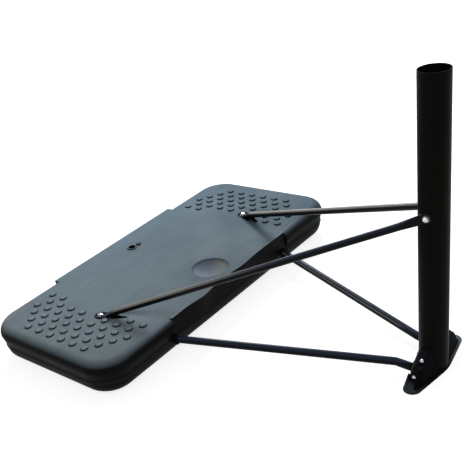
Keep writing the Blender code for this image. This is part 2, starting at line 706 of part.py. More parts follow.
def make_socket_collar(name, side, surface):
    """Dark ring that closes the gap between the tube and the tank's wall."""
    mouth, axis = socket_line(side)
    inner = LOWER_TUBE_DIAMETER / 2 + GAP
    reach = COLLAR_RADIUS * abs(axis.y) / axis.x
    bm = tube(mouth, mouth + (reach + COLLAR_OFFSET + COLLAR_THICKNESS) * axis, COLLAR_RADIUS, inner, 20)
    collar = make_object(name, bm, surface)
    reach = 2 * COLLAR_RADIUS
    corner = Vector((TANK_SIDE_X + COLLAR_OFFSET, side * SOCKET_Y + reach, SOCKET_Z + reach))
    side_wall = box(corner - Vector((2 * reach, 2 * reach, 2 * reach)), corner)
    combine(collar, make_tool(f"{name}_seat", side_wall), "DIFFERENCE")
    return collar


# Pole and foot

def make_pole(surface):
    """The lower pole: a plain tube, open at both ends, drilled for three bolts."""
    bm = tube((0, 0, POLE_BOTTOM), (0, 0, POLE_TOP), POLE_RADIUS, POLE_RADIUS - POLE_WALL, POLE_SIDES)
    pole = make_object("pole_lower", bm, surface)
    reach = POLE_RADIUS + OVERRUN
    places = (
        ("upper", 0.0, UPPER_BOLT_Z),
        ("foot", FOOT_BOLT_X, FOOT_BOLT_Z),
        ("lower", LOWER_BOLT_X, LOWER_BOLT_Z),
    )
    for name, x, z in places:
        hole = rod((x, -reach, z), (x, reach, z), BOLT_HOLE_RADIUS, 14)
        combine(pole, make_tool(f"pole_{name}_hole", hole), "DIFFERENCE")
    return pole


def foot_front(y):
    """Front edge of the foot at this distance from the centre plane."""
    return FOOT_FRONT - FOOT_SWEEP * (math.hypot(y, FOOT_NOSE) - FOOT_NOSE)


def foot_rear(y):
    """Rear edge of the foot: full behind the pole, then tapering to the tip."""
    tip = FOOT_HALF_LENGTH - FOOT_TIP_RADIUS
    out = abs(y)
    if out < FOOT_REAR_SHOULDER_Y:
        share = out / FOOT_REAR_SHOULDER_Y
        return -FOOT_REAR + share * share * (FOOT_REAR + FOOT_REAR_SHOULDER_X)
    share = (out - FOOT_REAR_SHOULDER_Y) / (tip - FOOT_REAR_SHOULDER_Y)
    return FOOT_REAR_SHOULDER_X + share * (FOOT_TIP_X - FOOT_TIP_RADIUS - FOOT_REAR_SHOULDER_X)


def foot_outline():
    """Plan of the foot's flange, anticlockwise from its near front corner."""
    tip = FOOT_HALF_LENGTH - FOOT_TIP_RADIUS
    stations = [-tip + 2 * tip * k / 16 for k in range(17)]
    arc = []
    for k in range(1, 7):
        angle = math.radians(6 + 162 * k / 7)
        arc.append((FOOT_TIP_X + FOOT_TIP_RADIUS * math.cos(angle), tip + FOOT_TIP_RADIUS * math.sin(angle)))
    points = [(foot_front(y), y) for y in stations] + arc
    points += [(foot_rear(y), y) for y in reversed(stations)]
    points += [(x, -y) for x, y in reversed(arc)]
    return points


def fillet(corners, radii, steps):
    """Round the corners of an open path and return its points."""
    points = []
    for k, (corner, radius) in enumerate(zip(corners, radii)):
        here = Vector(corner)
        if radius == 0:
            points.append(here)
            continue
        back = (Vector(corners[k - 1]) - here).normalized()
        ahead = (Vector(corners[k + 1]) - here).normalized()
        reach = radius / math.tan(back.angle(ahead) / 2)
        for i in range(steps + 1):
            share = i / steps
            first = here + reach * (1 - share) * back
            second = here + reach * share * ahead
            points.append(first.lerp(second, share))
    return points


def wing_section(y, wall):
    """Cross-section of the foot's wings, at a distance from the centre plane."""
    out = max(abs(y) - CHEEK_HALF_WIDTH, 0) / (WING_END_Y - CHEEK_HALF_WIDTH)
    front_z = CHEEK_FRONT_Z + out ** FRONT_RIDGE_BOW * (WING_END_Z - CHEEK_FRONT_Z) - wall
    rear_z = CHEEK_REAR_Z + out ** REAR_RIDGE_BOW * (WING_END_Z - CHEEK_REAR_Z) - wall
    front_x = foot_front(y) - FLANGE_WIDTH - wall
    rear_x = foot_rear(y) + FLANGE_WIDTH + wall
    base = FLANGE_THICKNESS / 2 if wall == 0 else -OVERRUN
    if wall > 0:
        front_z = min(front_z, HOLLOW_TOP)
        rear_z = min(rear_z, HOLLOW_TOP)
    top_front = min(WING_TOP_FRONT_X, front_x - WING_FRONT_SLOPE) - wall / 2
    top_rear = max(WING_TOP_REAR_X, rear_x + WING_REAR_SLOPE) + wall / 2
    radius = min(WING_CORNER_RADIUS, WING_CORNER_SHARE * (rear_z - base)) - wall / 2
    radius = max(radius, WING_CORNER_LEAST)
    corners = ((front_x, base), (top_front, front_z), (top_rear, rear_z), (rear_x, base))
    path = fillet(corners, (0, radius, radius, 0), 3)
    return [Vector((x, y, z)) for x, z in path]


def wing_loft(stations, wall):
    """Skin the wing's sections; its twisted faces are split into flat ones."""
    bm = loft([wing_section(y, wall) for y in stations])
    bmesh.ops.triangulate(bm, faces=bm.faces)
    return bm


def box(low, high):
    """An upright box between two corners."""
    bm = bmesh.new()
    bmesh.ops.create_cube(bm, size=1.0)
    low = Vector(low)
    high = Vector(high)
    size = Matrix.Diagonal((*(high - low), 1))
    bmesh.ops.transform(bm, matrix=Matrix.Translation((low + high) / 2) @ size, verts=bm.verts)
    return bm


def bolt_notch(side):
    """Cut that leaves an upright face for the lower bolt's head."""
    face = LOWER_BOLT_HEAD_Y - WASHER_THICKNESS - 2 * GAP
    ends = sorted((side * face, side * FOOT_HALF_LENGTH))
    low = (-FOOT_REAR, ends[0], FLANGE_THICKNESS + GAP)
    return box(low, (NOTCH_FRONT_X, ends[1], CHEEK_FRONT_Z))


def strut_door(side):
    """Box that opens a wing's rear wall for the lower strut."""
    middle = side * (BEND_Y - STRUT_DOOR_INSET)
    half = LOWER_TUBE_DIAMETER / 2 + STRUT_DOOR_CLEARANCE
    low = (-FOOT_REAR - OVERRUN, middle - half, -OVERRUN)
    return box(low, (WING_TOP_REAR_X + FOOT_WALL, middle + half, STRUT_DOOR_TOP))


def make_foot(surface):
    """Moulded foot: a flange with two hollow wings that hold the pole's sides."""
    rings = [[Vector((x, y, z)) for x, y in foot_outline()] for z in (0.0, FLANGE_THICKNESS)]
    foot = make_object("foot", loft(rings), surface, 30)
    stations = [-WING_END_Y + 2 * WING_END_Y * k / 20 for k in range(21)]
    wings = wing_loft(stations, 0.0)
    combine(foot, make_tool("foot_wings", wings), "UNION")
    hollow_start = LOWER_FLAT_Y - LOWER_FLAT_THICKNESS / 2 - GAP
    for name, side in SIDES:
        depths = [side * (hollow_start + (HOLLOW_END_Y - hollow_start) * k / 4) for k in range(5)]
        hollow = wing_loft(depths, FOOT_WALL)
        combine(foot, make_tool(f"{name}_foot_hollow", hollow), "DIFFERENCE")
        spot = rod((FOOT_BOLT_X, side * (FOOT_BOLT_HEAD_Y - GAP), FOOT_BOLT_Z),
                   (FOOT_BOLT_X, side * FOOT_HALF_LENGTH, FOOT_BOLT_Z), SPOTFACE_RADIUS, 18)
        combine(foot, make_tool(f"{name}_foot_spotface", spot), "DIFFERENCE")
        combine(foot, make_tool(f"{name}_foot_notch", bolt_notch(side)), "DIFFERENCE")
        combine(foot, make_tool(f"{name}_foot_door", strut_door(side)), "DIFFERENCE")
    bore = rod((0, 0, POLE_BOTTOM - GAP), (0, 0, CHEEK_FRONT_Z + OVERRUN), POLE_RADIUS + GAP, POLE_SIDES)
    combine(foot, make_tool("foot_pole_bore", bore), "DIFFERENCE")
    for name, x, z in (("foot", FOOT_BOLT_X, FOOT_BOLT_Z), ("lower", LOWER_BOLT_X, LOWER_BOLT_Z)):
        reach = FOOT_HALF_LENGTH + OVERRUN
        hole = rod((x, -reach, z), (x, reach, z), BOLT_HOLE_RADIUS, 14)
        combine(foot, make_tool(f"foot_{name}_bolt_hole", hole), "DIFFERENCE")
    return foot


# Fasteners

def hex_profile(base, height):
    """Side profile of a hexagon head or nut with a small chamfer."""
    radius = HEX_ACROSS_FLATS / math.sqrt(3)
    edge = base + (1 - HEX_CHAMFER_SHARE) * height
    return [(base, radius), (edge, radius), (base + height, HEX_FACE_SHARE * radius)]


def make_bolt(name, seat, axis, grip, head, surface):
    """A bolt whose head sits on the seat, with its shank along -axis."""
    axis = Vector(axis)
    bm = rod(Vector(seat) - grip * axis, Vector(seat) + LAP * axis, BOLT_RADIUS, 14)
    bolt = make_object(name, bm, surface)
    if head == "hex":
        top = turned(hex_profile(0, HEX_HEIGHT), axis, seat, 6)
    else:
        profile = []
        for k in range(5):
            turn = math.radians(84 * k / 4)
            profile.append((DOME_HEIGHT * math.sin(turn), DOME_RADIUS * math.cos(turn)))
        top = turned(profile, axis, seat, 16)
    combine(bolt, make_tool(f"{name}_head", top), "UNION")
    return bolt


def make_nut(name, seat, axis, surface):
    """A hexagon nut that sits on the seat and opens along the axis."""
    nut = make_object(name, turned(hex_profile(0, HEX_HEIGHT), axis, seat, 6), surface)
    axis = Vector(axis)
    hole = rod(Vector(seat) - OVERRUN * axis, Vector(seat) + OVERRUN * axis, BOLT_RADIUS + GAP, 14)
    combine(nut, make_tool(f"{name}_hole", hole), "DIFFERENCE")
    return nut


def make_washer(name, seat, axis, surface):
    """A flat washer that sits on the seat."""
    start = Vector(seat)
    end = start + WASHER_THICKNESS * Vector(axis)
    return make_object(name, tube(start, end, WASHER_RADIUS, BOLT_RADIUS + GAP, 20), surface)


def make_through_bolt(name, x, z, clamp, head, surface):
    """A bolt right across the pole, with a washer each side and a nut at the far end."""
    seat = clamp + GAP
    outer = seat + WASHER_THICKNESS + GAP
    for label, side in SIDES:
        make_washer(f"{name}_{label}_washer", (x, side * seat, z), (0, side, 0), surface)
    grip = 2 * outer + HEX_HEIGHT + BOLT_END
    make_bolt(f"{name}_bolt", (x, -outer, z), (0, -1, 0), grip, head, surface)
    make_nut(f"{name}_nut", (x, outer, z), (0, 1, 0), surface)


def make_anchor_fasteners(name, side, surface):
    """Bolt and washer on the strut's flat end, with the nut up in the well."""
    x = ANCHOR_X
    y = side * ANCHOR_Y
    seat = POCKET_FLOOR + 2 * GAP + UPPER_FLAT_THICKNESS
    head = seat + WASHER_THICKNESS + GAP
    roof = POCKET_FLOOR - WELL_ROOF - GAP
    make_washer(f"{name}_anchor_washer", (x, y, seat), (0, 0, 1), surface)
    grip = head - roof + HEX_HEIGHT + BOLT_END
    make_bolt(f"{name}_anchor_bolt", (x, y, head), (0, 0, 1), grip, "hex", surface)
    make_nut(f"{name}_anchor_nut", (x, y, roof), (0, 0, -1), surface)


def clear_scene():
    """Remove whatever the scene holds."""
    for item in list(bpy.data.objects):
        bpy.data.objects.remove(item, do_unlink=True)


clear_scene()
TOOL_MATERIAL = material("helper", (0.5, 0.5, 0.5), 0.5, 0.0)
moulded = material("moulded_plastic", (0.035, 0.038, 0.042), 0.42, 0.0)
soft_plastic = material("soft_plastic", (0.012, 0.012, 0.013), 0.55, 0.0)
foot_plastic = material("foot_plastic", (0.022, 0.023, 0.025), 0.38, 0.0)
pole_paint = material("pole_paint", (0.018, 0.018, 0.016), 0.34, 0.0)
strut_paint = material("strut_paint", (0.014, 0.015, 0.018), 0.28, 0.0)
zinc = material("zinc", (0.72, 0.73, 0.74), 0.28, 1.0)

make_tank(moulded)
make_fill_plug(soft_plastic)
make_pole(pole_paint)
make_foot(foot_plastic)
for side_name, side_sign in SIDES:
    make_upper_strut(f"{side_name}_upper_strut", side_sign, strut_paint)
    make_lower_strut(f"{side_name}_lower_strut", side_sign, strut_paint)
    make_socket_collar(f"{side_name}_socket_collar", side_sign, soft_plastic)
    make_anchor_fasteners(side_name, side_sign, zinc)
make_through_bolt("upper", 0.0, UPPER_BOLT_Z, POLE_RADIUS + GAP + UPPER_FLAT_THICKNESS, "hex", zinc)
make_bolt("foot_bolt", (FOOT_BOLT_X, -FOOT_BOLT_HEAD_Y, FOOT_BOLT_Z), (0, -1, 0),
          2 * FOOT_BOLT_HEAD_Y + HEX_HEIGHT + BOLT_END, "dome", zinc)
make_nut("foot_nut", (FOOT_BOLT_X, FOOT_BOLT_HEAD_Y, FOOT_BOLT_Z), (0, 1, 0), zinc)
notch_face = LOWER_BOLT_HEAD_Y - WASHER_THICKNESS - 2 * GAP
make_through_bolt("lower", LOWER_BOLT_X, LOWER_BOLT_Z, notch_face, "dome", zinc)
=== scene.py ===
"""Dressed model of the base and lower pole of a portable basketball hoop."""

import math

import bmesh
import bpy
from mathutils import Matrix, Vector


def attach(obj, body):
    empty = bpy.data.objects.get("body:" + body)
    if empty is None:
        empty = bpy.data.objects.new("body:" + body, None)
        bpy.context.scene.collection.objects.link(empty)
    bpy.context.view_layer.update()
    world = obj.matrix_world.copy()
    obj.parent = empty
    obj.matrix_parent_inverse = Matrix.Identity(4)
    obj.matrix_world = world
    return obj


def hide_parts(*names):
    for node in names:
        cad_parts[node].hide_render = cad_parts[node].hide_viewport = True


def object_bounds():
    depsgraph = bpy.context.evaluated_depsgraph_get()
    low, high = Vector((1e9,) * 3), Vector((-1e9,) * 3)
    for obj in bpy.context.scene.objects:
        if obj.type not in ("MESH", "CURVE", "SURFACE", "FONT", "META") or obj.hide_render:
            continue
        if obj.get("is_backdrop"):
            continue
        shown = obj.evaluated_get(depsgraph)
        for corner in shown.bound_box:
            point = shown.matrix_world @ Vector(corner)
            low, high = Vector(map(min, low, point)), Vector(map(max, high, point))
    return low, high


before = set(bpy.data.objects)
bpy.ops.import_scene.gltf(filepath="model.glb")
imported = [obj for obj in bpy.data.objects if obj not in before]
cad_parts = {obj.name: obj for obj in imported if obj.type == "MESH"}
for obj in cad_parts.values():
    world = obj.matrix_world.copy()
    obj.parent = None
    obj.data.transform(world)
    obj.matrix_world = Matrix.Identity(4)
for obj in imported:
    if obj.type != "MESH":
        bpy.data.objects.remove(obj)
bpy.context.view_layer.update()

scene = bpy.context.scene
scene.view_settings.view_transform = "Standard"


# Camera
# It stands to the front and near side of the pole, about head height, and
# looks back along the tank. The shift places the object as it is framed.

lens = bpy.data.cameras.new("camera")
lens.lens = 59.18
lens.sensor_width = 36.0
lens.shift_x = 0.14742
lens.shift_y = 0.12764
camera = bpy.data.objects.new("camera", lens)
camera.location = (0.85099, -1.87651, 1.53721)
camera.rotation_euler = (1.044726, 0.173762, 0.720049)
scene.collection.objects.link(camera)
scene.camera = camera


# Ballast tank
# The real tank is one hollow blow moulding of black polyethylene, about 4.5 mm
# thick. A mould in two halves leaves the parting lip round its side. The grip
# studs, the round dish and the two strut pockets are pressed out by the mould.

UP = Vector((0, 0, 1))
TANK_TOP = 0.143
TANK_X = -1.096
TANK_Y = 0.0155
TANK_HALF_X = 0.3225
TANK_HALF_Y = 0.700
TANK_CORNER = 0.118
CROWN = 0.038
ROUND_STEPS = 10
WIDEST_BAND = 0.0005
SIDE_TAPER = ((0.0035, 0.013), (0.0035, 0.013), (0.003, 0.011), (0.0, 0.003))  # (inset, drop)
PARTING_LIP = ((-0.0008, 0.0018), (-0.0012, 0.0010), (-0.0005, 0.0016),
               (0.0005, 0.0016), (0.0012, 0.0010), (0.0008, 0.0018))
UNDER_ROUND = 0.060
END_STEP = 0.004                # both ends stand this far inside the middle part
MIDDLE_HALF = 0.348
NOTCH_WIDTH = 0.003
COLUMN_HALF = 0.338
COLUMN_PITCH = 0.013
WAIST_Z = 0.068
WAIST_INSET = END_STEP + 0.010
REAR_EDGE_INSET = 0.0025
FRONT_EDGE_INSET = 0.0165
FRONT_SWELLS = ((0.010, -0.165), (0.006, 0.085))  # (how far out, where)
SWELL_SPREAD = 0.055
WALL_SHARE = 0.45               # of the crown's arc: below it the middle part is a wall
LIP_SHARE = 0.85                # and above this share it is the flat top
EDGE_ROUND = ((0.0, 0.0035), (0.0010, 0.0014), (0.0026, 0.0003), (0.0075, 0.0))  # (inward, below)
ANCHOR = Vector((-1.045, 0.437))
POCKET_AIM = Vector((0, 0.0468))  # the strut's upper end, which the pocket points at
POCKET_R = 0.0215
POCKET_DEEP = 0.006
POCKET_WALL = (-0.0025, 0.0030)  # across its outline
POCKET_TAPER = 0.85
POCKET_LENGTH = 0.125
STEP_DEEP = 0.009               # it gets this much deeper past the strut's flat end
STEP_RUN = (0.022, 0.050)
POCKET_FADE = (0.075, 0.118)
SHADE_FADE = (0.100, 0.120)
VALLEY_ENDS = (-1.02, -0.79)
VALLEY_START = -1.015
VALLEY_RUN = 0.195
VALLEY_MIDDLE = (0.037, 0.059)  # inwards from the anchor: at its start, and more at its end
VALLEY_HALF = (0.008, 0.040)
VALLEY_DEEP = 0.0042
VALLEY_SIDE = 1.35              # its sides reach this far, in half widths
VALLEY_RISE = (-0.12, 0.05)
VALLEY_FADE = (0.3, 1.15)
VALLEY_LOSS = 0.75
DISH = Vector((-0.890, 0.011))
DISH_R = 0.074
DISH_DEEP = 0.0165
DISH_DROP = 0.0010
DISH_RIM = (0.0670, 0.0735)
FILLER = Vector((-1.3045, 0.0080))
FILLER_R = 0.0165
PEG = FILLER + Vector((0.0045, 0.0345))
WELL_ROOF = 0.127
ANCHOR_HOLE_R = 0.0054
SOCKET_R = 0.0138
SOCKET_DEPTH = 0.070
STUD_X = -1.0935
STUD_STEP = 0.030               # half the pitch along a row
STUD_Y = 0.615
STUD_ROW_PITCH = 0.040
STUD_ROWS = ((-5, -3, -1, 1, 3, 5), (-6, -4, -2, 0, 2, 4, 6), (-7, -5, -3, -1, 1, 3, 5, 7),
             (-8, -6, -4, -2, 0, 2, 4, 6, 8), (-7, -5, -3, -1, 3, 5, 7), (-8, -6, 6, 8))


def finished(name, bm, surface, crease=35, merge=1e-5):
    """Make an object from a bmesh, smooth apart from the edges sharper than crease."""
    if merge:
        bmesh.ops.remove_doubles(bm, verts=bm.verts, dist=merge)
    bmesh.ops.recalc_face_normals(bm, faces=bm.faces)
    mesh = bpy.data.meshes.new(name)
    bm.to_mesh(mesh)
    bm.free()
    mesh.shade_smooth()
    mesh.set_sharp_from_angle(angle=math.radians(crease))
    if surface:
        mesh.materials.append(surface)
    piece = bpy.data.objects.new(name, mesh)
    scene.collection.objects.link(piece)
    return piece


def carve(piece, *cutters, crease=35):
    """Cut the closed cutters out of a piece, and keep the cut shape as its mesh."""
    for cutter in cutters:
        cut = piece.modifiers.new("cut", "BOOLEAN")
        cut.operation = "DIFFERENCE"
        cut.solver = "EXACT"
        cut.object = cutter
    graph = bpy.context.evaluated_depsgraph_get()
    shaped = bpy.data.meshes.new_from_object(piece.evaluated_get(graph))
    piece.modifiers.clear()
    piece.data = shaped
    shaped.shade_smooth()
    shaped.set_sharp_from_angle(angle=math.radians(crease))
    for cutter in cutters:
        bpy.data.objects.remove(cutter, do_unlink=True)


def seated(origin, axis):
    """The matrix that takes a shape made along +Z to its place and its axis."""
    turn = UP.rotation_difference(Vector(axis)).to_matrix().to_4x4()
    return Matrix.Translation(Vector(origin)) @ turn


def add_to(bm, made):
    """Move all of one bmesh into another."""
    passed = bpy.data.meshes.new("passed")
    made.to_mesh(passed)
    made.free()
    bm.from_mesh(passed)
    bpy.data.meshes.remove(passed)


def lathe(profile, origin, axis, steps=48, bm=None):
    """Spin (distance along the axis, radius) points into a closed turned shape."""
    made = bmesh.new()
    points = [made.verts.new((radius, 0, along)) for along, radius in profile]
    edges = [made.edges.new(pair) for pair in zip(points, points[1:])]
    bmesh.ops.spin(made, geom=points + edges, cent=(0, 0, 0), axis=UP,
                   angle=math.tau, steps=steps, use_merge=True)
    bmesh.ops.remove_doubles(made, verts=made.verts, dist=1e-6)
    bmesh.ops.recalc_face_normals(made, faces=made.faces)
    bmesh.ops.transform(made, matrix=seated(origin, axis), verts=made.verts)
    if bm is None:
        return made
    add_to(bm, made)
    return bm


def drill(low, high, radius, origin, axis, steps=24):
    """A round cutter between two distances along an axis."""
    rod = lathe(((low, 0), (low, radius), (high, radius), (high, 0)), origin, axis, steps)
    return finished("drill", rod, None)


def step_to(bm, face, inset, rise):
    """Inset a cap face and lift it, leaving one ring of faces behind."""
    bmesh.ops.inset_region(bm, faces=[face], thickness=inset, depth=0, use_even_offset=True)
    bmesh.ops.translate(bm, verts=list(face.verts), vec=(0, 0, rise))


def round_over(bm, face, inward, rise):
    """Step a cap face in, and up or down, along a quarter of an ellipse."""
    for k in range(ROUND_STEPS):
        here = math.radians(90 * k / ROUND_STEPS)
        ahead = math.radians(90 * (k + 1) / ROUND_STEPS)
        step_to(bm, face, inward * (math.cos(here) - math.cos(ahead)),
                rise * (math.sin(ahead) - math.sin(here)))


def smoothstep(low, high, value):
    """0 below low, 1 above high, and an eased ramp between them."""
    share = min(max((value - low) / (high - low), 0.0), 1.0)
    return share * share * (3 - 2 * share)


def spaced(low, high, pitch):
    """Evenly spaced places from low to high, about a pitch apart."""
    count = max(round((high - low) / pitch), 1)
    return [low + (high - low) * k / count for k in range(count + 1)]


def cut_lines(bm, axis, places, keep=None):
    """Cut the faces that pass keep, or all of them, along planes across one axis."""
    normal = Vector((1, 0, 0)) if axis == 0 else Vector((0, 1, 0))
    for place in places:
        faces = [f for f in bm.faces if keep is None or keep(f)]
        edges = {e for f in faces for e in f.edges}
        verts = {v for f in faces for v in f.verts}
        bmesh.ops.bisect_plane(bm, geom=list(verts) + list(edges) + faces, dist=1e-6,
                               plane_co=normal * place, plane_no=normal)


def front_edge_inset(y):
    """How far the middle part's top edge lies inside the tank's full width."""
    swell = sum(out * math.exp(-((y - middle) / SWELL_SPREAD) ** 2) for out, middle in FRONT_SWELLS)
    return FRONT_EDGE_INSET - swell


# Skin: a rounded plan at the widest level, stepped up over the crown and down
# past the waist and lip to the curved underside.
bm = bmesh.new()
bmesh.ops.create_grid(bm, x_segments=1, y_segments=1, size=1.0)
plan = Matrix.Diagonal((TANK_HALF_X - END_STEP, TANK_HALF_Y, 1, 1))
bmesh.ops.transform(bm, matrix=Matrix.Translation((0, 0, TANK_TOP - CROWN)) @ plan, verts=bm.verts)
bmesh.ops.bevel(bm, geom=list(bm.verts), offset=TANK_CORNER, segments=16, profile=0.5,
                affect="VERTICES", material=-1)
lower = bm.faces[:][0]
raised = bmesh.ops.extrude_face_region(bm, geom=[lower], use_keep_orig=True)
upper = [f for f in raised["geom"] if isinstance(f, bmesh.types.BMFace)][0]
bmesh.ops.translate(bm, verts=list(upper.verts), vec=(0, 0, WIDEST_BAND))
round_over(bm, upper, CROWN, CROWN - WIDEST_BAND)
for inset, drop in SIDE_TAPER + PARTING_LIP:
    step_to(bm, lower, inset, -drop)
under_z = TANK_TOP - CROWN - sum(drop for _, drop in SIDE_TAPER + PARTING_LIP)
round_over(bm, lower, UNDER_ROUND, -under_z)

# The middle part: more columns along its sides, then its shoulder is drawn out
# to a narrow edge that waves on the pole's side.
columns = [-MIDDLE_HALF - NOTCH_WIDTH, -MIDDLE_HALF, MIDDLE_HALF, MIDDLE_HALF + NOTCH_WIDTH]
cut_lines(bm, 1, columns + spaced(-COLUMN_HALF, COLUMN_HALF, COLUMN_PITCH))
for vertex in bm.verts:
    x, y, z = vertex.co
    if abs(y) > MIDDLE_HALF + 1e-4 or z < WAIST_Z - 0.004:
        continue
    side = math.copysign(1, x)
    edge = front_edge_inset(y + TANK_Y) if side > 0 else REAR_EDGE_INSET
    within = TANK_HALF_X - END_STEP - abs(x)
    if z > TANK_TOP - CROWN and within <= CROWN + 1e-4:
        climbed = min(max((z - (TANK_TOP - CROWN)) / CROWN, 0), 1)
        share = math.asin(climbed) / (math.pi / 2)
        if share > LIP_SHARE:
            inset = edge + (share - 0.5) * 2 * (CROWN + END_STEP - edge)
            height = TANK_TOP
        elif share > WALL_SHARE:
            inward, below = EDGE_ROUND[round(share * ROUND_STEPS) - ROUND_STEPS // 2]
            inset = edge + inward
            height = TANK_TOP - below
        else:
            height = TANK_TOP - CROWN * (1 - 2 * share)
            drop = (TANK_TOP - height) / (TANK_TOP - WAIST_Z)
            inset = edge + drop * (WAIST_INSET - edge)
        vertex.co = (side * (TANK_HALF_X - inset), y, height)
    elif within < CROWN:
        drop = (TANK_TOP - z) / (TANK_TOP - WAIST_Z)
        vertex.co.x = side * (TANK_HALF_X - edge - min(drop, 1) * (WAIST_INSET - edge))

bmesh.ops.translate(bm, verts=bm.verts, vec=(TANK_X, TANK_Y, 0))
bmesh.ops.remove_doubles(bm, verts=bm.verts, dist=1e-5)


def on_top(face):
    """Is this one of the flat faces of the tank's top?"""
    return face.normal.z > 0.99 and face.calc_center_median().z > TANK_TOP - 0.001


# Grid lines over the top, as (from, to, pitch): finest round the pockets, fine
# over the valleys and the dish.
fine_pitch = 0.0025
lines_x = []
for start, end, pitch in ((-1.39, -1.12, 0.03), (-1.078, -0.93, fine_pitch), (-0.926, -0.80, 0.004)):
    lines_x += spaced(start, end, pitch)
lines_y = []
for side in (-1, 1):
    for start, end, pitch in ((0.405, 0.472, fine_pitch), (0.28, 0.40, 0.006),
                              (0.50, 0.66, 0.04), (0.11, 0.26, 0.03)):
        lines_y += spaced(*sorted((side * start, side * end)), pitch)
lines_y += spaced(-0.072, 0.094, 0.004)
bm.normal_update()
cut_lines(bm, 0, lines_x, on_top)
cut_lines(bm, 1, lines_y, on_top)


def pocket_shape(point):
    """Depth of a strut pocket at a point, and how far it is shaded: 0 to 1."""
    heading = (POCKET_AIM - ANCHOR).normalized()
    across = Vector((-heading.y, heading.x))
    offset = Vector((point.x, abs(point.y))) - ANCHOR
    reach = offset.dot(heading)
    if reach <= 0:
        outside = offset.length - POCKET_R
    else:
        narrowed = 1 - smoothstep(0.0, POCKET_LENGTH, reach) * POCKET_TAPER
        outside = abs(offset.dot(across)) - POCKET_R * narrowed
    inside = 1 - smoothstep(*POCKET_WALL, outside)
    level = POCKET_DEEP + STEP_DEEP * smoothstep(*STEP_RUN, reach)
    level *= 1 - smoothstep(*POCKET_FADE, reach)
    return level * inside, inside * (1 - smoothstep(*SHADE_FADE, reach))


def pressed(point):
    """How far the mould presses the tank's top down at a point of its plan."""
    depth, _ = pocket_shape(point)
    away = (point - DISH).length
    bowl = DISH_DEEP * (1 - (away / DISH_R) ** 2) + DISH_DROP
    depth = max(depth, bowl * (1 - smoothstep(*DISH_RIM, away)))
    if VALLEY_ENDS[0] < point.x < VALLEY_ENDS[1]:
        along = (point.x - VALLEY_START) / VALLEY_RUN
        middle = ANCHOR.y - VALLEY_MIDDLE[0] - along * VALLEY_MIDDLE[1]
        half = VALLEY_HALF[0] + along * VALLEY_HALF[1]
        valley = VALLEY_DEEP * (1 - smoothstep(0.0, VALLEY_SIDE, abs(abs(point.y) - middle) / half))
        valley *= smoothstep(*VALLEY_RISE, along) * (1 - VALLEY_LOSS * smoothstep(*VALLEY_FADE, along))
        depth = max(depth, valley)
    return depth


for vertex in bm.verts:
    if vertex.co.z > TANK_TOP - 0.0005:
        vertex.co.z -= pressed(vertex.co.xy)
tank = finished("tank_skin", bm, None, crease=38)


def lower_strut_line(side):
    """Where a lower strut enters the tank, where it bends, and the way between them."""
    mouth = Vector((-0.7875, side * 0.3409, 0.0618))
    bend = Vector((-0.0885, side * 0.0775, 0.0309))
    return mouth, bend, (bend - mouth).normalized()


# Openings: the wrench wells below, the anchor holes, the sockets and the filler.
WELL = ((-0.01, 0), (-0.01, 0.0243), (WELL_ROOF, 0.020), (WELL_ROOF, 0))
cutters = []
for side in (-1, 1):
    spot = (ANCHOR.x, side * ANCHOR.y, 0)
    mouth, _, line = lower_strut_line(side)
    cutters.append(finished("well", lathe(WELL, spot, UP, 40), None))
    cutters.append(drill(0.11, 0.16, ANCHOR_HOLE_R, spot, UP))
    cutters.append(drill(-SOCKET_DEPTH, 0.06, SOCKET_R, mouth, line, 40))
cutters.append(drill(0.100, 0.16, FILLER_R, (*FILLER, 0), UP, 40))
carve(tank, *cutters, crease=38)

# The grip studs: low domes, set out in both fields, and the peg that the
# plug's strap hooks on.
STUD_DOME = ((-0.0030, 0), (-0.0030, 0.0150), (0.0002, 0.0152), (0.0012, 0.0143), (0.0030, 0.0133),
             (0.0040, 0.0118), (0.0046, 0.0085), (0.0049, 0.0045), (0.0050, 0))
PEG_SHAPE = ((-0.001, 0), (-0.001, 0.003), (0.0030, 0.003), (0.0034, 0.0042), (0.0042, 0.0038), (0.0046, 0))
bm = bmesh.new()
for side in (-1, 1):
    for row, places in enumerate(STUD_ROWS):
        for place in places:
            spot = (STUD_X + STUD_STEP * place, side * (STUD_Y - STUD_ROW_PITCH * row), TANK_TOP)
            lathe(STUD_DOME, spot, UP, 18, bm)
lathe(PEG_SHAPE, (*PEG, TANK_TOP), UP, 24, bm)
stud_points = len(bm.verts)
bm.from_mesh(tank.data)
bm.to_mesh(tank.data)
bm.free()
tank.data.shade_smooth()
tank.data.set_sharp_from_angle(angle=math.radians(38))

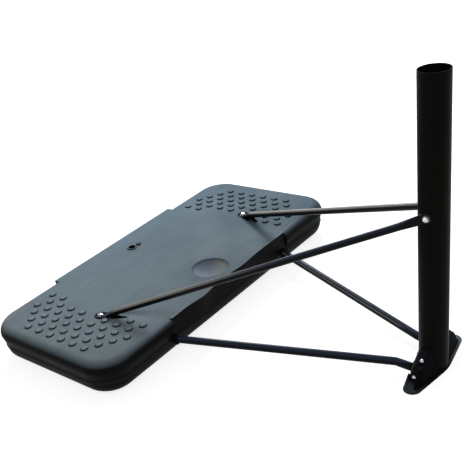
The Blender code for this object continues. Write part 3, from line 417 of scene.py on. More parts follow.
# Painted light and shade, kept on the points: painted shade in the pockets and round the studs' feet,
# painted highlights on the near domes and the crests, and painted light in the dish.
DISH_LIGHT_SPREAD = (0.056, DISH_R)
STUD_RING = (0.0020, 0.0047)
STUD_CAP = (0.0044, 0.0050)
CREST_Z = (0.120, 0.132)
CREST_FADE = (0.01, 0.15)
shaded = tank.data.attributes.new("shaded", "FLOAT", "POINT")
painted_highlight = tank.data.attributes.new("painted_highlight", "FLOAT", "POINT")
dish_light = tank.data.attributes.new("dish_light", "FLOAT", "POINT")
for vertex, dark, pale, hollow in zip(tank.data.vertices, shaded.data, painted_highlight.data, dish_light.data):
    x, y, z = vertex.co
    hollow.value = 1 - smoothstep(*DISH_LIGHT_SPREAD, (vertex.co.xy - DISH).length)
    # Studs: painted shade round each stud's foot, and a painted highlight on the near studs' tops.
    if vertex.index < stud_points:
        is_stud = abs(y) > 0.1
        dark.value = (1 - smoothstep(*STUD_RING, z - TANK_TOP)) * is_stud
        pale.value = 0.30 * smoothstep(*STUD_CAP, z - TANK_TOP) * smoothstep(-0.1, 0.1, -y)
    elif CREST_Z[0] < z < TANK_TOP + 0.0002:
        # Painted shade in the pockets, and painted highlights on the crests below.
        dark.value = pocket_shape(vertex.co.xy)[1]
        edge = TANK_X + TANK_HALF_X - front_edge_inset(y)
        past = abs(y - TANK_Y) - MIDDLE_HALF
        if past < 0.001 and x > edge - 0.004 and z > TANK_TOP - 0.0040:
            pale.value = 1.0
        elif past >= 0.001 and x > TANK_X + TANK_HALF_X - END_STEP - 0.8 * CROWN:
            pale.value = 0.85 * smoothstep(*CREST_Z, z) * (1 - smoothstep(*CREST_FADE, past))


def node_group(name, inputs, outputs):
    """An empty shader node group with named number, colour or vector sockets."""
    kinds = {"value": "NodeSocketFloat", "colour": "NodeSocketColor", "vector": "NodeSocketVector"}
    group = bpy.data.node_groups.new(name, "ShaderNodeTree")
    for label, kind in inputs:
        group.interface.new_socket(name=label, in_out="INPUT", socket_type=kinds[kind])
    for label, kind in outputs:
        group.interface.new_socket(name=label, in_out="OUTPUT", socket_type=kinds[kind])
    return group, group.nodes.new("NodeGroupInput"), group.nodes.new("NodeGroupOutput")


def wire(tree, source, out, target, into):
    """Join one node's output to another's input."""
    tree.links.new(source.outputs[out], target.inputs[into])


def calculate(tree, operation, *values, clamp=False):
    """A Math node; each value is a number or a (node, output) pair."""
    node = tree.nodes.new("ShaderNodeMath")
    node.operation = operation
    node.use_clamp = clamp
    for slot, value in enumerate(values):
        if isinstance(value, tuple):
            wire(tree, *value, node, slot)
        else:
            node.inputs[slot].default_value = value
    return node, 0


def product(tree, first, *others):
    """The product of two or more masks."""
    for other in others:
        first = calculate(tree, "MULTIPLY", first, other)
    return first


def speckle(tree, place, scale, detail=2.0, roughness=0.5):
    """A Noise node on the given coordinates."""
    node = tree.nodes.new("ShaderNodeTexNoise")
    node.inputs["Scale"].default_value = scale
    node.inputs["Detail"].default_value = detail
    node.inputs["Roughness"].default_value = roughness
    wire(tree, *place, node, "Vector")
    return node, "Fac"


def stretched(tree, place, scale):
    """Coordinates scaled by another number along each axis, for streaks."""
    node = tree.nodes.new("ShaderNodeMapping")
    node.inputs["Scale"].default_value = scale
    wire(tree, *place, node, "Vector")
    return node, "Vector"


def split_axes(tree, vector):
    """A place or a normal as its X, Y and Z."""
    node = tree.nodes.new("ShaderNodeSeparateXYZ")
    wire(tree, *vector, node, 0)
    return node


def kept_painted_light(tree, name):
    """One of the painted light and shade values that are kept on the mesh's points."""
    node = tree.nodes.new("ShaderNodeAttribute")
    node.attribute_name = name
    return node, "Fac"


def ramp(tree, value, stops):
    """A Map Range node from the first pair of numbers to the second."""
    node = tree.nodes.new("ShaderNodeMapRange")
    node.interpolation_type = "SMOOTHSTEP"
    for label, number in zip(("From Min", "From Max", "To Min", "To Max"), stops):
        node.inputs[label].default_value = number
    wire(tree, *value, node, "Value")
    return node, "Result"


def blend_colours(tree, share, first, second):
    """Mix two colours; each is a colour or a (node, output) pair."""
    node = tree.nodes.new("ShaderNodeMix")
    node.data_type = "RGBA"
    wire(tree, *share, node, 0)
    for slot, value in ((6, first), (7, second)):
        if isinstance(value[0], float):
            node.inputs[slot].default_value = (*value, 1.0)
        else:
            wire(tree, *value, node, slot)
    return node, 2


# Moulded grain: the fine leathery texture that a blasted mould leaves, with
# slow unevenness, as a height and as a tone.
grain, grain_in, grain_out = node_group(
    "moulded_grain", (("Place", "vector"), ("Grain Scale", "value")),
    (("Height", "value"), ("Tone", "value")))
place = (grain_in, "Place")
fine = grain.nodes.new("ShaderNodeTexNoise")
fine.inputs["Detail"].default_value = 3.0
wire(grain, *place, fine, "Vector")
wire(grain, grain_in, "Grain Scale", fine, "Scale")
slow = calculate(grain, "MULTIPLY", speckle(grain, place, 9.0, 3.0), 0.45)
wire(grain, *calculate(grain, "MULTIPLY_ADD", (fine, "Fac"), 0.55, slow), grain_out, "Height")
patch = calculate(grain, "MULTIPLY", speckle(grain, place, 3.2, 4.0, 0.6), 0.65)
wire(grain, *calculate(grain, "MULTIPLY_ADD", (fine, "Fac"), 0.35, patch), grain_out, "Tone")

# Settled dust and painted sheen: a mask that is strong on surfaces that face up and fades round
# the shoulders, broken up by noise. It lays dust, painted sheen and painted highlights on upward faces.
dust_and_sheen, dust_and_sheen_in, dust_and_sheen_out = node_group(
    "settled_dust_and_sheen", (("Place", "vector"), ("Start", "value"), ("Full", "value")), (("Mask", "value"),))
facing = split_axes(dust_and_sheen, (dust_and_sheen.nodes.new("ShaderNodeNewGeometry"), "Normal"))
lie = dust_and_sheen.nodes.new("ShaderNodeMapRange")
lie.interpolation_type = "SMOOTHSTEP"
wire(dust_and_sheen, facing, "Z", lie, "Value")
wire(dust_and_sheen, dust_and_sheen_in, "Start", lie, "From Min")
wire(dust_and_sheen, dust_and_sheen_in, "Full", lie, "From Max")
cloud = ramp(dust_and_sheen, speckle(dust_and_sheen, (dust_and_sheen_in, "Place"), 5.0, 5.0, 0.62), (0.25, 0.75, 0.80, 1.0))
wire(dust_and_sheen, *calculate(dust_and_sheen, "MULTIPLY", (lie, "Result"), cloud, clamp=True), dust_and_sheen_out, "Mask")


def principled(name, roughness, specular, metallic=0.0):
    """A material with its Principled shader, its tree and object coordinates."""
    surface = bpy.data.materials.new(name)
    surface.use_nodes = True
    tree = surface.node_tree
    shader = tree.nodes["Principled BSDF"]
    shader.inputs["Roughness"].default_value = roughness
    shader.inputs["Specular IOR Level"].default_value = specular
    shader.inputs["Metallic"].default_value = metallic
    place = (tree.nodes.new("ShaderNodeTexCoord"), "Object")
    return surface, tree, shader, place


def use_group(tree, group, place, **values):
    """Place a node group in a material and set its named inputs."""
    node = tree.nodes.new("ShaderNodeGroup")
    node.node_tree = group
    wire(tree, *place, node, "Place")
    for label, value in values.items():
        node.inputs[label.replace("_", " ")].default_value = value
    return node


def bump(tree, shader, height, distance):
    """Feed a height into the shader's normal."""
    node = tree.nodes.new("ShaderNodeBump")
    node.inputs["Distance"].default_value = distance
    wire(tree, *height, node, "Height")
    wire(tree, node, "Normal", shader, "Normal")


black_tank, tree, shader, place = principled("blow_moulded_black", 0.5, 0.03)
texture = use_group(tree, grain, place, Grain_Scale=620.0)
dust_and_sheen_mask = use_group(tree, dust_and_sheen, place, Start=0.42, Full=0.99)
streaks = speckle(tree, stretched(tree, place, (46.0, 2.6, 46.0)), 1.0, 5.0, 0.65)
apart = split_axes(tree, place)
across = calculate(tree, "MULTIPLY_ADD", (apart, "Y"), 0.6, (apart, "X"))
body = blend_colours(tree, (texture, "Tone"), (0.0040, 0.0044, 0.0044), (0.0070, 0.0076, 0.0076))

# Bloom and painted sheen: the pale top is dust and a painted sky reflection, paler at the near end and bluer
# at the far one.
near_bloom_and_sheen = blend_colours(tree, streaks, (0.178, 0.233, 0.265), (0.263, 0.328, 0.362))
far_bloom_and_sheen = blend_colours(tree, streaks, (0.090, 0.168, 0.232), (0.142, 0.240, 0.318))
far_end = ramp(tree, (apart, "Y"), (-0.75, 0.70, 0.0, 1.0))
bloom_and_sheen = blend_colours(tree, far_end, near_bloom_and_sheen, far_bloom_and_sheen)

# The dish: painted light and reflection, bright and bluish on its near side, darker on its far side, and
# warm towards the pole.
far_of_dish = ramp(tree, (apart, "Y"), (-0.050, 0.010, 0.0, 1.0))
dish_light_colour = blend_colours(tree, far_of_dish, (0.310, 0.382, 0.505), (0.198, 0.248, 0.335))
front_of_dish = ramp(tree, across, (-0.895, -0.840, 0.0, 1.0))
dish_light_colour = blend_colours(tree, front_of_dish, dish_light_colour, (0.300, 0.322, 0.308))
bloom_and_sheen = blend_colours(tree, kept_painted_light(tree, "dish_light"), bloom_and_sheen, dish_light_colour)

# Painted highlights on the crests and the near domes, and a warm painted highlight on the near corner at the
# back.
bloom_and_sheen = blend_colours(tree, kept_painted_light(tree, "painted_highlight"), bloom_and_sheen, (0.400, 0.475, 0.600))
rear = ramp(tree, (apart, "X"), (-1.405, -1.340, 0.8, 0.0))
corner = product(tree, rear, ramp(tree, (apart, "Y"), (-0.66, -0.45, 1.0, 0.0)))
bloom_and_sheen = blend_colours(tree, corner, bloom_and_sheen, (0.380, 0.360, 0.325))

# The bloom and sheen thins towards the far front corner, and none lies in the painted shade.
open_top = calculate(tree, "SUBTRACT", 1.0, kept_painted_light(tree, "shaded"), clamp=True)
cover = product(tree, (dust_and_sheen_mask, "Mask"), open_top, ramp(tree, across, (-1.55, -0.70, 1.0, 0.58)))
wire(tree, *blend_colours(tree, cover, body, bloom_and_sheen), shader, "Base Color")
wire(tree, *ramp(tree, (texture, "Tone"), (0.3, 0.7, 0.42, 0.58)), shader, "Roughness")
bump(tree, shader, (texture, "Height"), 0.0004)
tank.data.materials.append(black_tank)
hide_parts("tank")
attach(tank, "base")


# Fill plug
# A push-in plug of softer black plastic closes the filler. Its flange covers
# the hole, and a moulded strap with an eye keeps it on the tank's peg.

FIT_GAP = 0.0003                # pieces that lie against each other stand this far apart
PLUG_SEAT = TANK_TOP + FIT_GAP
PLUG_RIM_Z = PLUG_SEAT + 0.0032
PLUG_SHAPE = ((-0.0130, 0), (-0.0130, 0.0118), (-0.0100, 0.0128), (0.0002, 0.0138), (0.0026, 0.0150),
              (0.0035, 0.0156), (0.0039, 0.0166), (0.0038, 0.0190), (0.0030, 0.0199), (0.0014, 0.0202),
              (0.0000, 0.0198), (0.0000, 0.0159), (-0.0020, 0.0156), (-0.0030, 0.0160),
              (-0.0045, 0.0155), (-0.0060, 0.0160), (-0.0080, 0.0155), (-0.0130, 0.0157),
              (-0.0158, 0.0142), (-0.0160, 0.0))
EYE_RING = ((0.0004, 0.0078), (0.0004, 0.0104), (0.0011, 0.0110), (0.0020, 0.0110), (0.0027, 0.0104),
            (0.0027, 0.0078), (0.0020, 0.0072), (0.0011, 0.0072), (0.0004, 0.0078))
STRAP_SIZE = (0.0050, 0.0070, 0.0017)
STRAP_REACH = 0.0218            # from the plug's middle to the strap's
STRAP_LIFT = 0.0013

soft_black, tree, shader, place = principled("soft_black_plastic", 0.6, 0.02)
texture = use_group(tree, grain, place, Grain_Scale=900.0)
dust_and_sheen_mask = use_group(tree, dust_and_sheen, place, Start=0.35, Full=0.80)
body = blend_colours(tree, (texture, "Tone"), (0.0040, 0.0043, 0.0046), (0.0075, 0.0080, 0.0084))
# The raised rim's top: dust and a painted sheen.
rim_dust_and_sheen = blend_colours(tree, (texture, "Tone"), (0.200, 0.230, 0.245), (0.290, 0.320, 0.335))
on_rim = ramp(tree, (split_axes(tree, place), "Z"), (PLUG_RIM_Z, PLUG_RIM_Z + 0.0003, 0.0, 1.0))
cover = product(tree, (dust_and_sheen_mask, "Mask"), on_rim)
wire(tree, *blend_colours(tree, cover, body, rim_dust_and_sheen), shader, "Base Color")
wire(tree, *ramp(tree, (texture, "Tone"), (0.3, 0.7, 0.50, 0.68)), shader, "Roughness")
bump(tree, shader, (texture, "Height"), 0.0002)

bm = bmesh.new()
lathe(PLUG_SHAPE, (*FILLER, PLUG_SEAT), UP, bm=bm)
lathe(EYE_RING, (*PEG, PLUG_SEAT), UP, 40, bm)
strap = bmesh.new()
bmesh.ops.create_cube(strap, size=1.0)
bmesh.ops.scale(strap, vec=STRAP_SIZE, verts=strap.verts)
bmesh.ops.bevel(strap, geom=list(strap.edges), offset=0.0005, segments=2, profile=0.5,
                affect="EDGES", material=-1)
run = PEG - FILLER
bmesh.ops.rotate(strap, verts=strap.verts, cent=(0, 0, 0),
                 matrix=Matrix.Rotation(-math.atan2(run.x, run.y), 3, "Z"))
middle = FILLER + run.normalized() * STRAP_REACH
bmesh.ops.translate(strap, verts=strap.verts, vec=(*middle, PLUG_SEAT + STRAP_LIFT))
add_to(bm, strap)
plug = finished("fill_plug_body", bm, soft_black, crease=40, merge=0)
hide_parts("fill_plug")
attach(plug, "plug")


# Lower pole
# A plain steel tube of three and a half inches, rolled and seam welded, cut
# square and powder coated black. Three bolts pass through it.

POLE_R = 0.04445
POLE_BORE = 0.04195
POLE_FOOT = 0.003
POLE_TOP = 0.940
POLE_CHAMFER = 0.0008
UPPER_BOLT = (0.0, 0.533)       # x and z of the three bolts
FOOT_BOLT = (0.004, 0.067)
LOWER_BOLT = (-0.008, 0.0195)
HOLE_R = 0.00535

satin_black, tree, shader, place = principled("powder_coat_black", 0.5, 0.03)
orange_peel = speckle(tree, place, 420.0)
streaks = speckle(tree, stretched(tree, place, (60.0, 60.0, 1.6)), 1.0, 4.0, 0.6)
coat = blend_colours(tree, streaks, (0.0020, 0.0022, 0.0014), (0.0042, 0.0044, 0.0034))
wire(tree, *coat, shader, "Base Color")
wire(tree, *ramp(tree, streaks, (0.3, 0.7, 0.40, 0.55)), shader, "Roughness")
bump(tree, shader, orange_peel, 0.00006)

inner_edge = POLE_BORE + 0.00075
low_edge, high_edge = POLE_FOOT + POLE_CHAMFER, POLE_TOP - POLE_CHAMFER
bm = lathe(((low_edge, POLE_R), (high_edge, POLE_R), (POLE_TOP, POLE_R - POLE_CHAMFER),
            (POLE_TOP, inner_edge), (high_edge, POLE_BORE), (low_edge, POLE_BORE), (POLE_FOOT, inner_edge),
            (POLE_FOOT, POLE_R - POLE_CHAMFER), (low_edge, POLE_R)), (0, 0, 0), UP, 128)
pole = finished("pole_tube", bm, satin_black, crease=40)
drills = [drill(-0.06, 0.06, HOLE_R, (x, 0, z), (0, 1, 0)) for x, z in (UPPER_BOLT, FOOT_BOLT, LOWER_BOLT)]
carve(pole, *drills, crease=40)
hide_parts("pole_lower")
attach(pole, "base")


# Upper struts
# Each is a thin steel tube with both ends pressed flat and drilled: the lower
# end lies level in the tank's pocket, the upper end stands against the pole.

UPPER_R = 0.01175
UPPER_FLAT = (0.015, 0.002)     # half width and half thickness of the flat ends
UPPER_FLAT_Y = POLE_R + FIT_GAP + UPPER_FLAT[1]
FLAT_SQUARE = 0.42              # 1 is an ellipse, smaller is nearer a rectangle
LOW_PRESS = 0.062               # along the strut's heading, from the anchor to the round tube
LOW_PRESS_RISE = 0.0217
TOP_PRESS = 0.080               # along X, from the pole's bolt to the round tube
TOP_SPREAD = 0.0285
MIDDLE_STATIONS = 12

# Coat and film: a thin pale film along the top that is dust and a painted highlight, warm on
# the low part of the near strut and all along the far one, a painted bluish sky reflection elsewhere.
gloss_black, tree, shader, place = principled("strut_coat_black", 0.34, 0.07)
peel = speckle(tree, place, 500.0)
shade = speckle(tree, place, 22.0, 3.0)
dust_and_sheen_mask = use_group(tree, dust_and_sheen, place, Start=0.38, Full=0.62)
apart = split_axes(tree, place)
low_part = ramp(tree, (apart, "X"), (-0.80, -0.35, 1.0, 0.0))
far_side = ramp(tree, (apart, "Y"), (0.0, 0.01, 0.0, 1.0))
above_tank = ramp(tree, (apart, "Z"), (0.120, 0.135, 0.0, 1.0))
# The flat end in the pocket keeps the dark bluish film: painted shade.
clear_of_pocket = ramp(tree, (apart, "X"), (-1.005, -0.975, 0.0, 1.0))
warm_share = product(tree, calculate(tree, "MAXIMUM", low_part, far_side), above_tank, clear_of_pocket)
body = blend_colours(tree, shade, (0.0030, 0.0034, 0.0044), (0.0050, 0.0058, 0.0078))
film_and_highlight = blend_colours(tree, warm_share, (0.024, 0.034, 0.064), (0.320, 0.306, 0.278))
coat = blend_colours(tree, (dust_and_sheen_mask, "Mask"), body, film_and_highlight)

# A painted highlight line along the upper flank of the far lower strut.
turned = split_axes(tree, (tree.nodes.new("ShaderNodeNewGeometry"), "Normal"))
highlight_line = product(tree,
               ramp(tree, (turned, "Z"), (0.38, 0.50, 0.0, 1.0)),
               ramp(tree, (turned, "Z"), (0.62, 0.74, 1.0, 0.0)),
               ramp(tree, (turned, "Y"), (-0.55, -0.30, 1.0, 0.0)),
               ramp(tree, (apart, "Y"), (0.08, 0.10, 0.0, 1.0)),
               ramp(tree, (apart, "Z"), (0.110, 0.120, 1.0, 0.0)))
wire(tree, *blend_colours(tree, highlight_line, coat, (0.230, 0.228, 0.215)), shader, "Base Color")
wire(tree, *ramp(tree, shade, (0.3, 0.7, 0.28, 0.40)), shader, "Roughness")
bump(tree, shader, peel, 0.00005)


def pull_tube(stations, sides=32):
    """Pull a round face along stations.

    Each station is (centre, up, half width, half thickness, squareness).
    """
    bm = bmesh.new()
    bmesh.ops.create_circle(bm, cap_ends=True, segments=sides, radius=1.0)
    bmesh.ops.rotate(bm, verts=bm.verts, cent=(0, 0, 0), matrix=Matrix.Rotation(math.pi / sides, 3, "Z"))
    cap = bm.faces[:][0]
    circle = [(vertex, vertex.co.xy.copy()) for vertex in cap.verts]
    for k, (centre, up, wide, thick, square) in enumerate(stations):
        before = stations[max(k - 1, 0)][0]
        after = stations[min(k + 1, len(stations) - 1)][0]
        along = (after - before).normalized()
        rise = (up - up.dot(along) * along).normalized()
        across = along.cross(rise)
        if k:
            pulled = bmesh.ops.extrude_discrete_faces(bm, faces=[cap])
            cap = pulled["faces"][0]
            circle = [(vertex, flat) for vertex, (_, flat) in zip(cap.verts, circle)]
        for vertex, flat in circle:
            u = math.copysign(abs(flat.x) ** square, flat.x)
            v = math.copysign(abs(flat.y) ** square, flat.y)
            vertex.co = centre + wide * u * across + thick * v * rise
    return bm


def pressed_end(eye, away, up, half_width, half_thick):
    """Stations of a pressed flat end, from its rounded tip to past the bolt."""
    made = []
    for share in (-0.985, -0.93, -0.82, -0.65, -0.4, 0.0, 0.9):
        wide = half_width * math.sqrt(1 - min(share, 0) ** 2)
        made.append((eye + share * half_width * away, up, wide, half_thick, FLAT_SQUARE))
    return made


def pressing(start, end, half_width, half_thick, radius, up, steps=10):
    """Stations where the flat section swells back to the round tube."""
    made = []
    for k in range(1, steps + 1):
        ease = smoothstep(0, 1, k / steps)
        made.append((start.lerp(end, k / steps), up, half_width + ease * (radius - half_width),
                     half_thick + ease * (radius - half_thick), FLAT_SQUARE + (1 - FLAT_SQUARE) * ease))
    return made


climb = (UPPER_BOLT[1] - TANK_TOP) / -ANCHOR.x
for label, side in (("near", -1), ("far", 1)):
    aside = Vector((0, side, 0))
    heading = Vector((-ANCHOR.x, side * (UPPER_FLAT_Y - ANCHOR.y), 0)).normalized()
    anchor = Vector((ANCHOR.x, side * ANCHOR.y, TANK_TOP - POCKET_DEEP + FIT_GAP + UPPER_FLAT[1]))
    eye = Vector((UPPER_BOLT[0], side * UPPER_FLAT_Y, UPPER_BOLT[1]))
    tube_low = anchor + LOW_PRESS * heading + LOW_PRESS_RISE * UP
    tube_high = Vector((-TOP_PRESS, side * (UPPER_FLAT_Y + TOP_SPREAD), UPPER_BOLT[1] - TOP_PRESS * climb))
    away = Vector((-1, 0, -climb)).normalized()
    low = pressed_end(anchor, heading, UP, *UPPER_FLAT)
    low += pressing(low[-1][0], tube_low, *UPPER_FLAT, UPPER_R, UP)
    high = pressed_end(eye, away, aside, *UPPER_FLAT)
    high += pressing(high[-1][0], tube_high, *UPPER_FLAT, UPPER_R, aside)
    middle = []
    for k in range(1, MIDDLE_STATIONS):
        share = k / MIDDLE_STATIONS
        turn = UP.lerp(aside, smoothstep(0, 1, share)).normalized()
        middle.append((tube_low.lerp(tube_high, share), turn, UPPER_R, UPPER_R, 1.0))
    strut = finished(f"{label}_upper_tube", pull_tube(low + middle + high[::-1]), gloss_black, crease=45)
    drills = [drill(-0.01, 0.01, HOLE_R, centre, axis) for centre, axis in ((anchor, UP), (eye, aside))]
    carve(strut, *drills, crease=45)
    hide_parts(f"{label}_upper_strut")
    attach(strut, "base")


# Lower struts
# Thicker steel tubes. One end plugs into the tank's side, the other is bent,
# pressed flat and held inside the foot by the lower bolt.

LOWER_R = 0.0135
LOWER_FLAT = (0.017, 0.0025)
LOWER_FLAT_Y = 0.072
BEND_LENGTH = 0.02
PLAIN_STATIONS = 6

for label, side in (("near", -1), ("far", 1)):
    aside = Vector((0, side, 0))
    mouth, bend, line = lower_strut_line(side)
    eye = Vector((LOWER_BOLT[0], side * LOWER_FLAT_Y, LOWER_BOLT[1]))
    away = Vector((bend.x - eye.x, 0, bend.z - eye.z)).normalized()
    flat = pressed_end(eye, away, aside, *LOWER_FLAT)
    flat += pressing(flat[-1][0], bend, *LOWER_FLAT, LOWER_R, aside)
    centres = [mouth - (SOCKET_DEPTH - 0.002) * line]
    centres += [mouth.lerp(bend - BEND_LENGTH * line, k / PLAIN_STATIONS) for k in range(PLAIN_STATIONS + 1)]
    plain = [(centre, aside, LOWER_R, LOWER_R, 1.0) for centre in centres]
    strut = finished(f"{label}_lower_tube", pull_tube(plain + flat[::-1]), gloss_black, crease=45)
    carve(strut, drill(-0.01, 0.01, HOLE_R, eye, aside), crease=45)
    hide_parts(f"{label}_lower_strut")
    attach(strut, "base")


# Socket collars
# A soft black ring round each lower strut where it enters the tank. It closes
# the gap to the moulding and stops the tube from rattling.

COLLAR_RING = ((-0.010, 0.0138), (-0.010, 0.0195), (0.0136, 0.0195), (0.0152, 0.0188), (0.0158, 0.0172),
               (0.0156, 0.0150), (0.0148, 0.0138), (-0.010, 0.0138))
COLLAR_BACK = 0.0045            # its flat back, in front of the socket's mouth
WALL_HALF = 0.05


def block(low, high):
    """A closed box between two corners, as a cutter."""
    made = bmesh.new()
    bmesh.ops.create_cube(made, size=1.0)
    low, high = Vector(low), Vector(high)
    bmesh.ops.scale(made, vec=high - low, verts=made.verts)
    bmesh.ops.translate(made, vec=(low + high) / 2, verts=made.verts)
    return finished("block", made, None)


for label, side in (("near", -1), ("far", 1)):
    mouth, _, line = lower_strut_line(side)
    collar = finished(f"{label}_collar", lathe(COLLAR_RING, mouth, line), soft_black, crease=40)
    wall = mouth + Vector((COLLAR_BACK - WALL_HALF, 0, 0))
    half = Vector((WALL_HALF, WALL_HALF, WALL_HALF))
    carve(collar, block(wall - half, wall + half), crease=40)
    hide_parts(f"{label}_socket_collar")
    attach(collar, "base")


# Foot
# A moulded black foot that the pole stands in. Its two hollow wings take the
# flat ends of the lower struts, and a thin flange runs round it on the floor.

FOOT_HALF = 0.1735
TIP_R = 0.0265
TIP_X = -0.0015
FLANGE_THICK = 0.0042
FLANGE_STATIONS = 72
NOSE_X = 0.0475
NOSE_ROUND = 0.020
NOSE_SWEEP = 0.165
REAR_X = -0.058
REAR_SHOULDER = (0.070, -0.0475)  # (y, x) where the rear edge starts to taper
WING_START = 0.046
WING_END = 0.150
FRONT_RIDGE_Z = 0.090
REAR_RIDGE_Z = 0.076
WING_TIP_Z = 0.0068
WING_FOOT_Z = 0.0021
WING_INSET = 0.0075             # from the flange's edge
FOOT_FLOOR = 0.0027
SPOTFACE_Y = 0.0852
SPOTFACE_R = 0.0115
CANOPY_Y = 0.1121
WING_OUT_Y = 0.18


def foot_front(y):
    """Front edge of the flange, swept back from its rounded nose to the tips."""
    return NOSE_X - NOSE_SWEEP * (math.hypot(y, NOSE_ROUND) - NOSE_ROUND)


def foot_rear(y):
    """Rear edge of the flange: full behind the pole, then tapering to the tip."""
    out = abs(y)
    shoulder_y, shoulder_x = REAR_SHOULDER
    if out < shoulder_y:
        return REAR_X + (out / shoulder_y) ** 2 * (shoulder_x - REAR_X)
    run = FOOT_HALF - TIP_R - shoulder_y
    return shoulder_x + (out - shoulder_y) / run * (TIP_X - TIP_R - shoulder_x)


def flange_edge(y):
    """Front and rear edge of the flange, with the round of its tips."""
    beyond = abs(y) - (FOOT_HALF - TIP_R)
    if beyond <= 0:
        return foot_front(y), foot_rear(y)
    half = math.sqrt(max(TIP_R ** 2 - beyond ** 2, 0))
    start = foot_front(FOOT_HALF - TIP_R)
    lead = (start - TIP_X) / TIP_R * (1 - beyond / TIP_R) + beyond / TIP_R
    return TIP_X + half * lead, TIP_X - half


def wing_corners(y):
    """Front foot, front ridge, rear ridge and rear foot of the wings' section."""
    out = max(abs(y) - WING_START, 0) / (WING_END - WING_START)
    front_z = FRONT_RIDGE_Z + out ** 2.3 * (WING_TIP_Z - FRONT_RIDGE_Z)
    rear_z = REAR_RIDGE_Z + out ** 0.82 * (WING_TIP_Z - REAR_RIDGE_Z)
    front_x = foot_front(y) - WING_INSET
    rear_x = foot_rear(y) + WING_INSET
    top_front = min(0.016, front_x - 0.006)
    top_rear = max(-0.030, rear_x + 0.004)
    return (front_x, WING_FOOT_Z), (top_front, front_z), (top_rear, rear_z), (rear_x, WING_FOOT_Z)


# The flange, its upper rim rounded.
bm = bmesh.new()
bmesh.ops.create_grid(bm, x_segments=1, y_segments=FLANGE_STATIONS, size=1.0)
for vertex in bm.verts:
    y = FOOT_HALF * 0.99999 * math.sin(vertex.co.y * math.pi / 2)
    front, rear = flange_edge(y)
    vertex.co = (front if vertex.co.x > 0 else rear, y, 0.0)
raised = bmesh.ops.extrude_face_region(bm, geom=bm.faces[:], use_keep_orig=True)
lifted = [v for v in raised["geom"] if isinstance(v, bmesh.types.BMVert)]
bmesh.ops.translate(bm, verts=lifted, vec=(0, 0, FLANGE_THICK))
bmesh.ops.remove_doubles(bm, verts=bm.verts, dist=1e-5)
rim = [e for e in bm.edges if all(v.co.z > 0.004 for v in e.verts) and e.calc_face_angle(0) > 0.5]
bmesh.ops.bevel(bm, geom=rim, offset=0.0012, segments=3, profile=0.5, affect="EDGES",
                clamp_overlap=True, material=-1)

# Dust and painted light on the foot: a bluish painted sheen in front, a warm painted highlight on the rear
# edge, a paler painted highlight on the far flange.
grained_black, tree, shader, place = principled("foot_black", 0.6, 0.008)
texture = use_group(tree, grain, place, Grain_Scale=1100.0)
dust_and_sheen_mask = use_group(tree, dust_and_sheen, place, Start=0.30, Full=1.0)
body = blend_colours(tree, (texture, "Tone"), (0.0030, 0.0033, 0.0032), (0.0060, 0.0064, 0.0064))
thin_film_and_sheen = (0.0080, 0.0105, 0.0170)
apart = split_axes(tree, place)
on_flange = ramp(tree, (apart, "Z"), (0.0050, 0.0075, 1.0, 0.0))
at_rear = ramp(tree, (apart, "X"), (-0.031, -0.018, 1.0, 0.0))
near_tip = ramp(tree, (apart, "Y"), (-0.135, -0.105, 1.0, 0.0))
far_side = ramp(tree, (apart, "Y"), (-0.010, 0.070, 0.0, 1.0))
film_and_highlight = blend_colours(tree, at_rear, thin_film_and_sheen, (0.1300, 0.1260, 0.1060))
rim_film_and_highlight = blend_colours(tree, near_tip, thin_film_and_sheen, (0.034, 0.043, 0.058))
rim_film_and_highlight = blend_colours(tree, far_side, rim_film_and_highlight, (0.150, 0.180, 0.215))
film_and_highlight = blend_colours(tree, on_flange, film_and_highlight, rim_film_and_highlight)
wire(tree, *blend_colours(tree, (dust_and_sheen_mask, "Mask"), body, film_and_highlight), shader, "Base Color")
wire(tree, *ramp(tree, (texture, "Tone"), (0.3, 0.7, 0.52, 0.68)), shader, "Roughness")
bump(tree, shader, (texture, "Height"), 0.0002)
foot = finished("foot_body", bm, grained_black, crease=35)

# The wings, with rounded ridges, joined to the flange.
bm = bmesh.new()
bmesh.ops.create_cube(bm, size=2.0)
cut_lines(bm, 1, spaced(-1, 1, 1 / 30)[1:-1])
crests = set()
for vertex in bm.verts:
    front, top = vertex.co.x > 0, vertex.co.z > 0
    y = WING_END * vertex.co.y
    corners = wing_corners(y)
    if top:
        crests.add(vertex)
        x, z = corners[1 if front else 2]
    else:
        x, z = corners[0 if front else 3]
    vertex.co = (x, y, z)
lines = [e for e in bm.edges if e.verts[0] in crests and e.verts[1] in crests
         and abs(e.verts[0].co.y - e.verts[1].co.y) > 1e-4]
bmesh.ops.bevel(bm, geom=lines, offset=0.0140, segments=8, profile=0.5, affect="EDGES",
                clamp_overlap=True, material=-1)
wings = finished("wings", bm, None, crease=35)
join = foot.modifiers.new("wings", "BOOLEAN")
join.operation = "UNION"
join.solver = "EXACT"
join.object = wings


def wing_hollow(side, along_y, along_x, along_z):
    """A box cutter in one wing, between two distances along each axis."""
    y0, y1 = sorted(side * y for y in along_y)
    return block((along_x[0], y0, along_z[0]), (along_x[1], y1, along_z[1]))


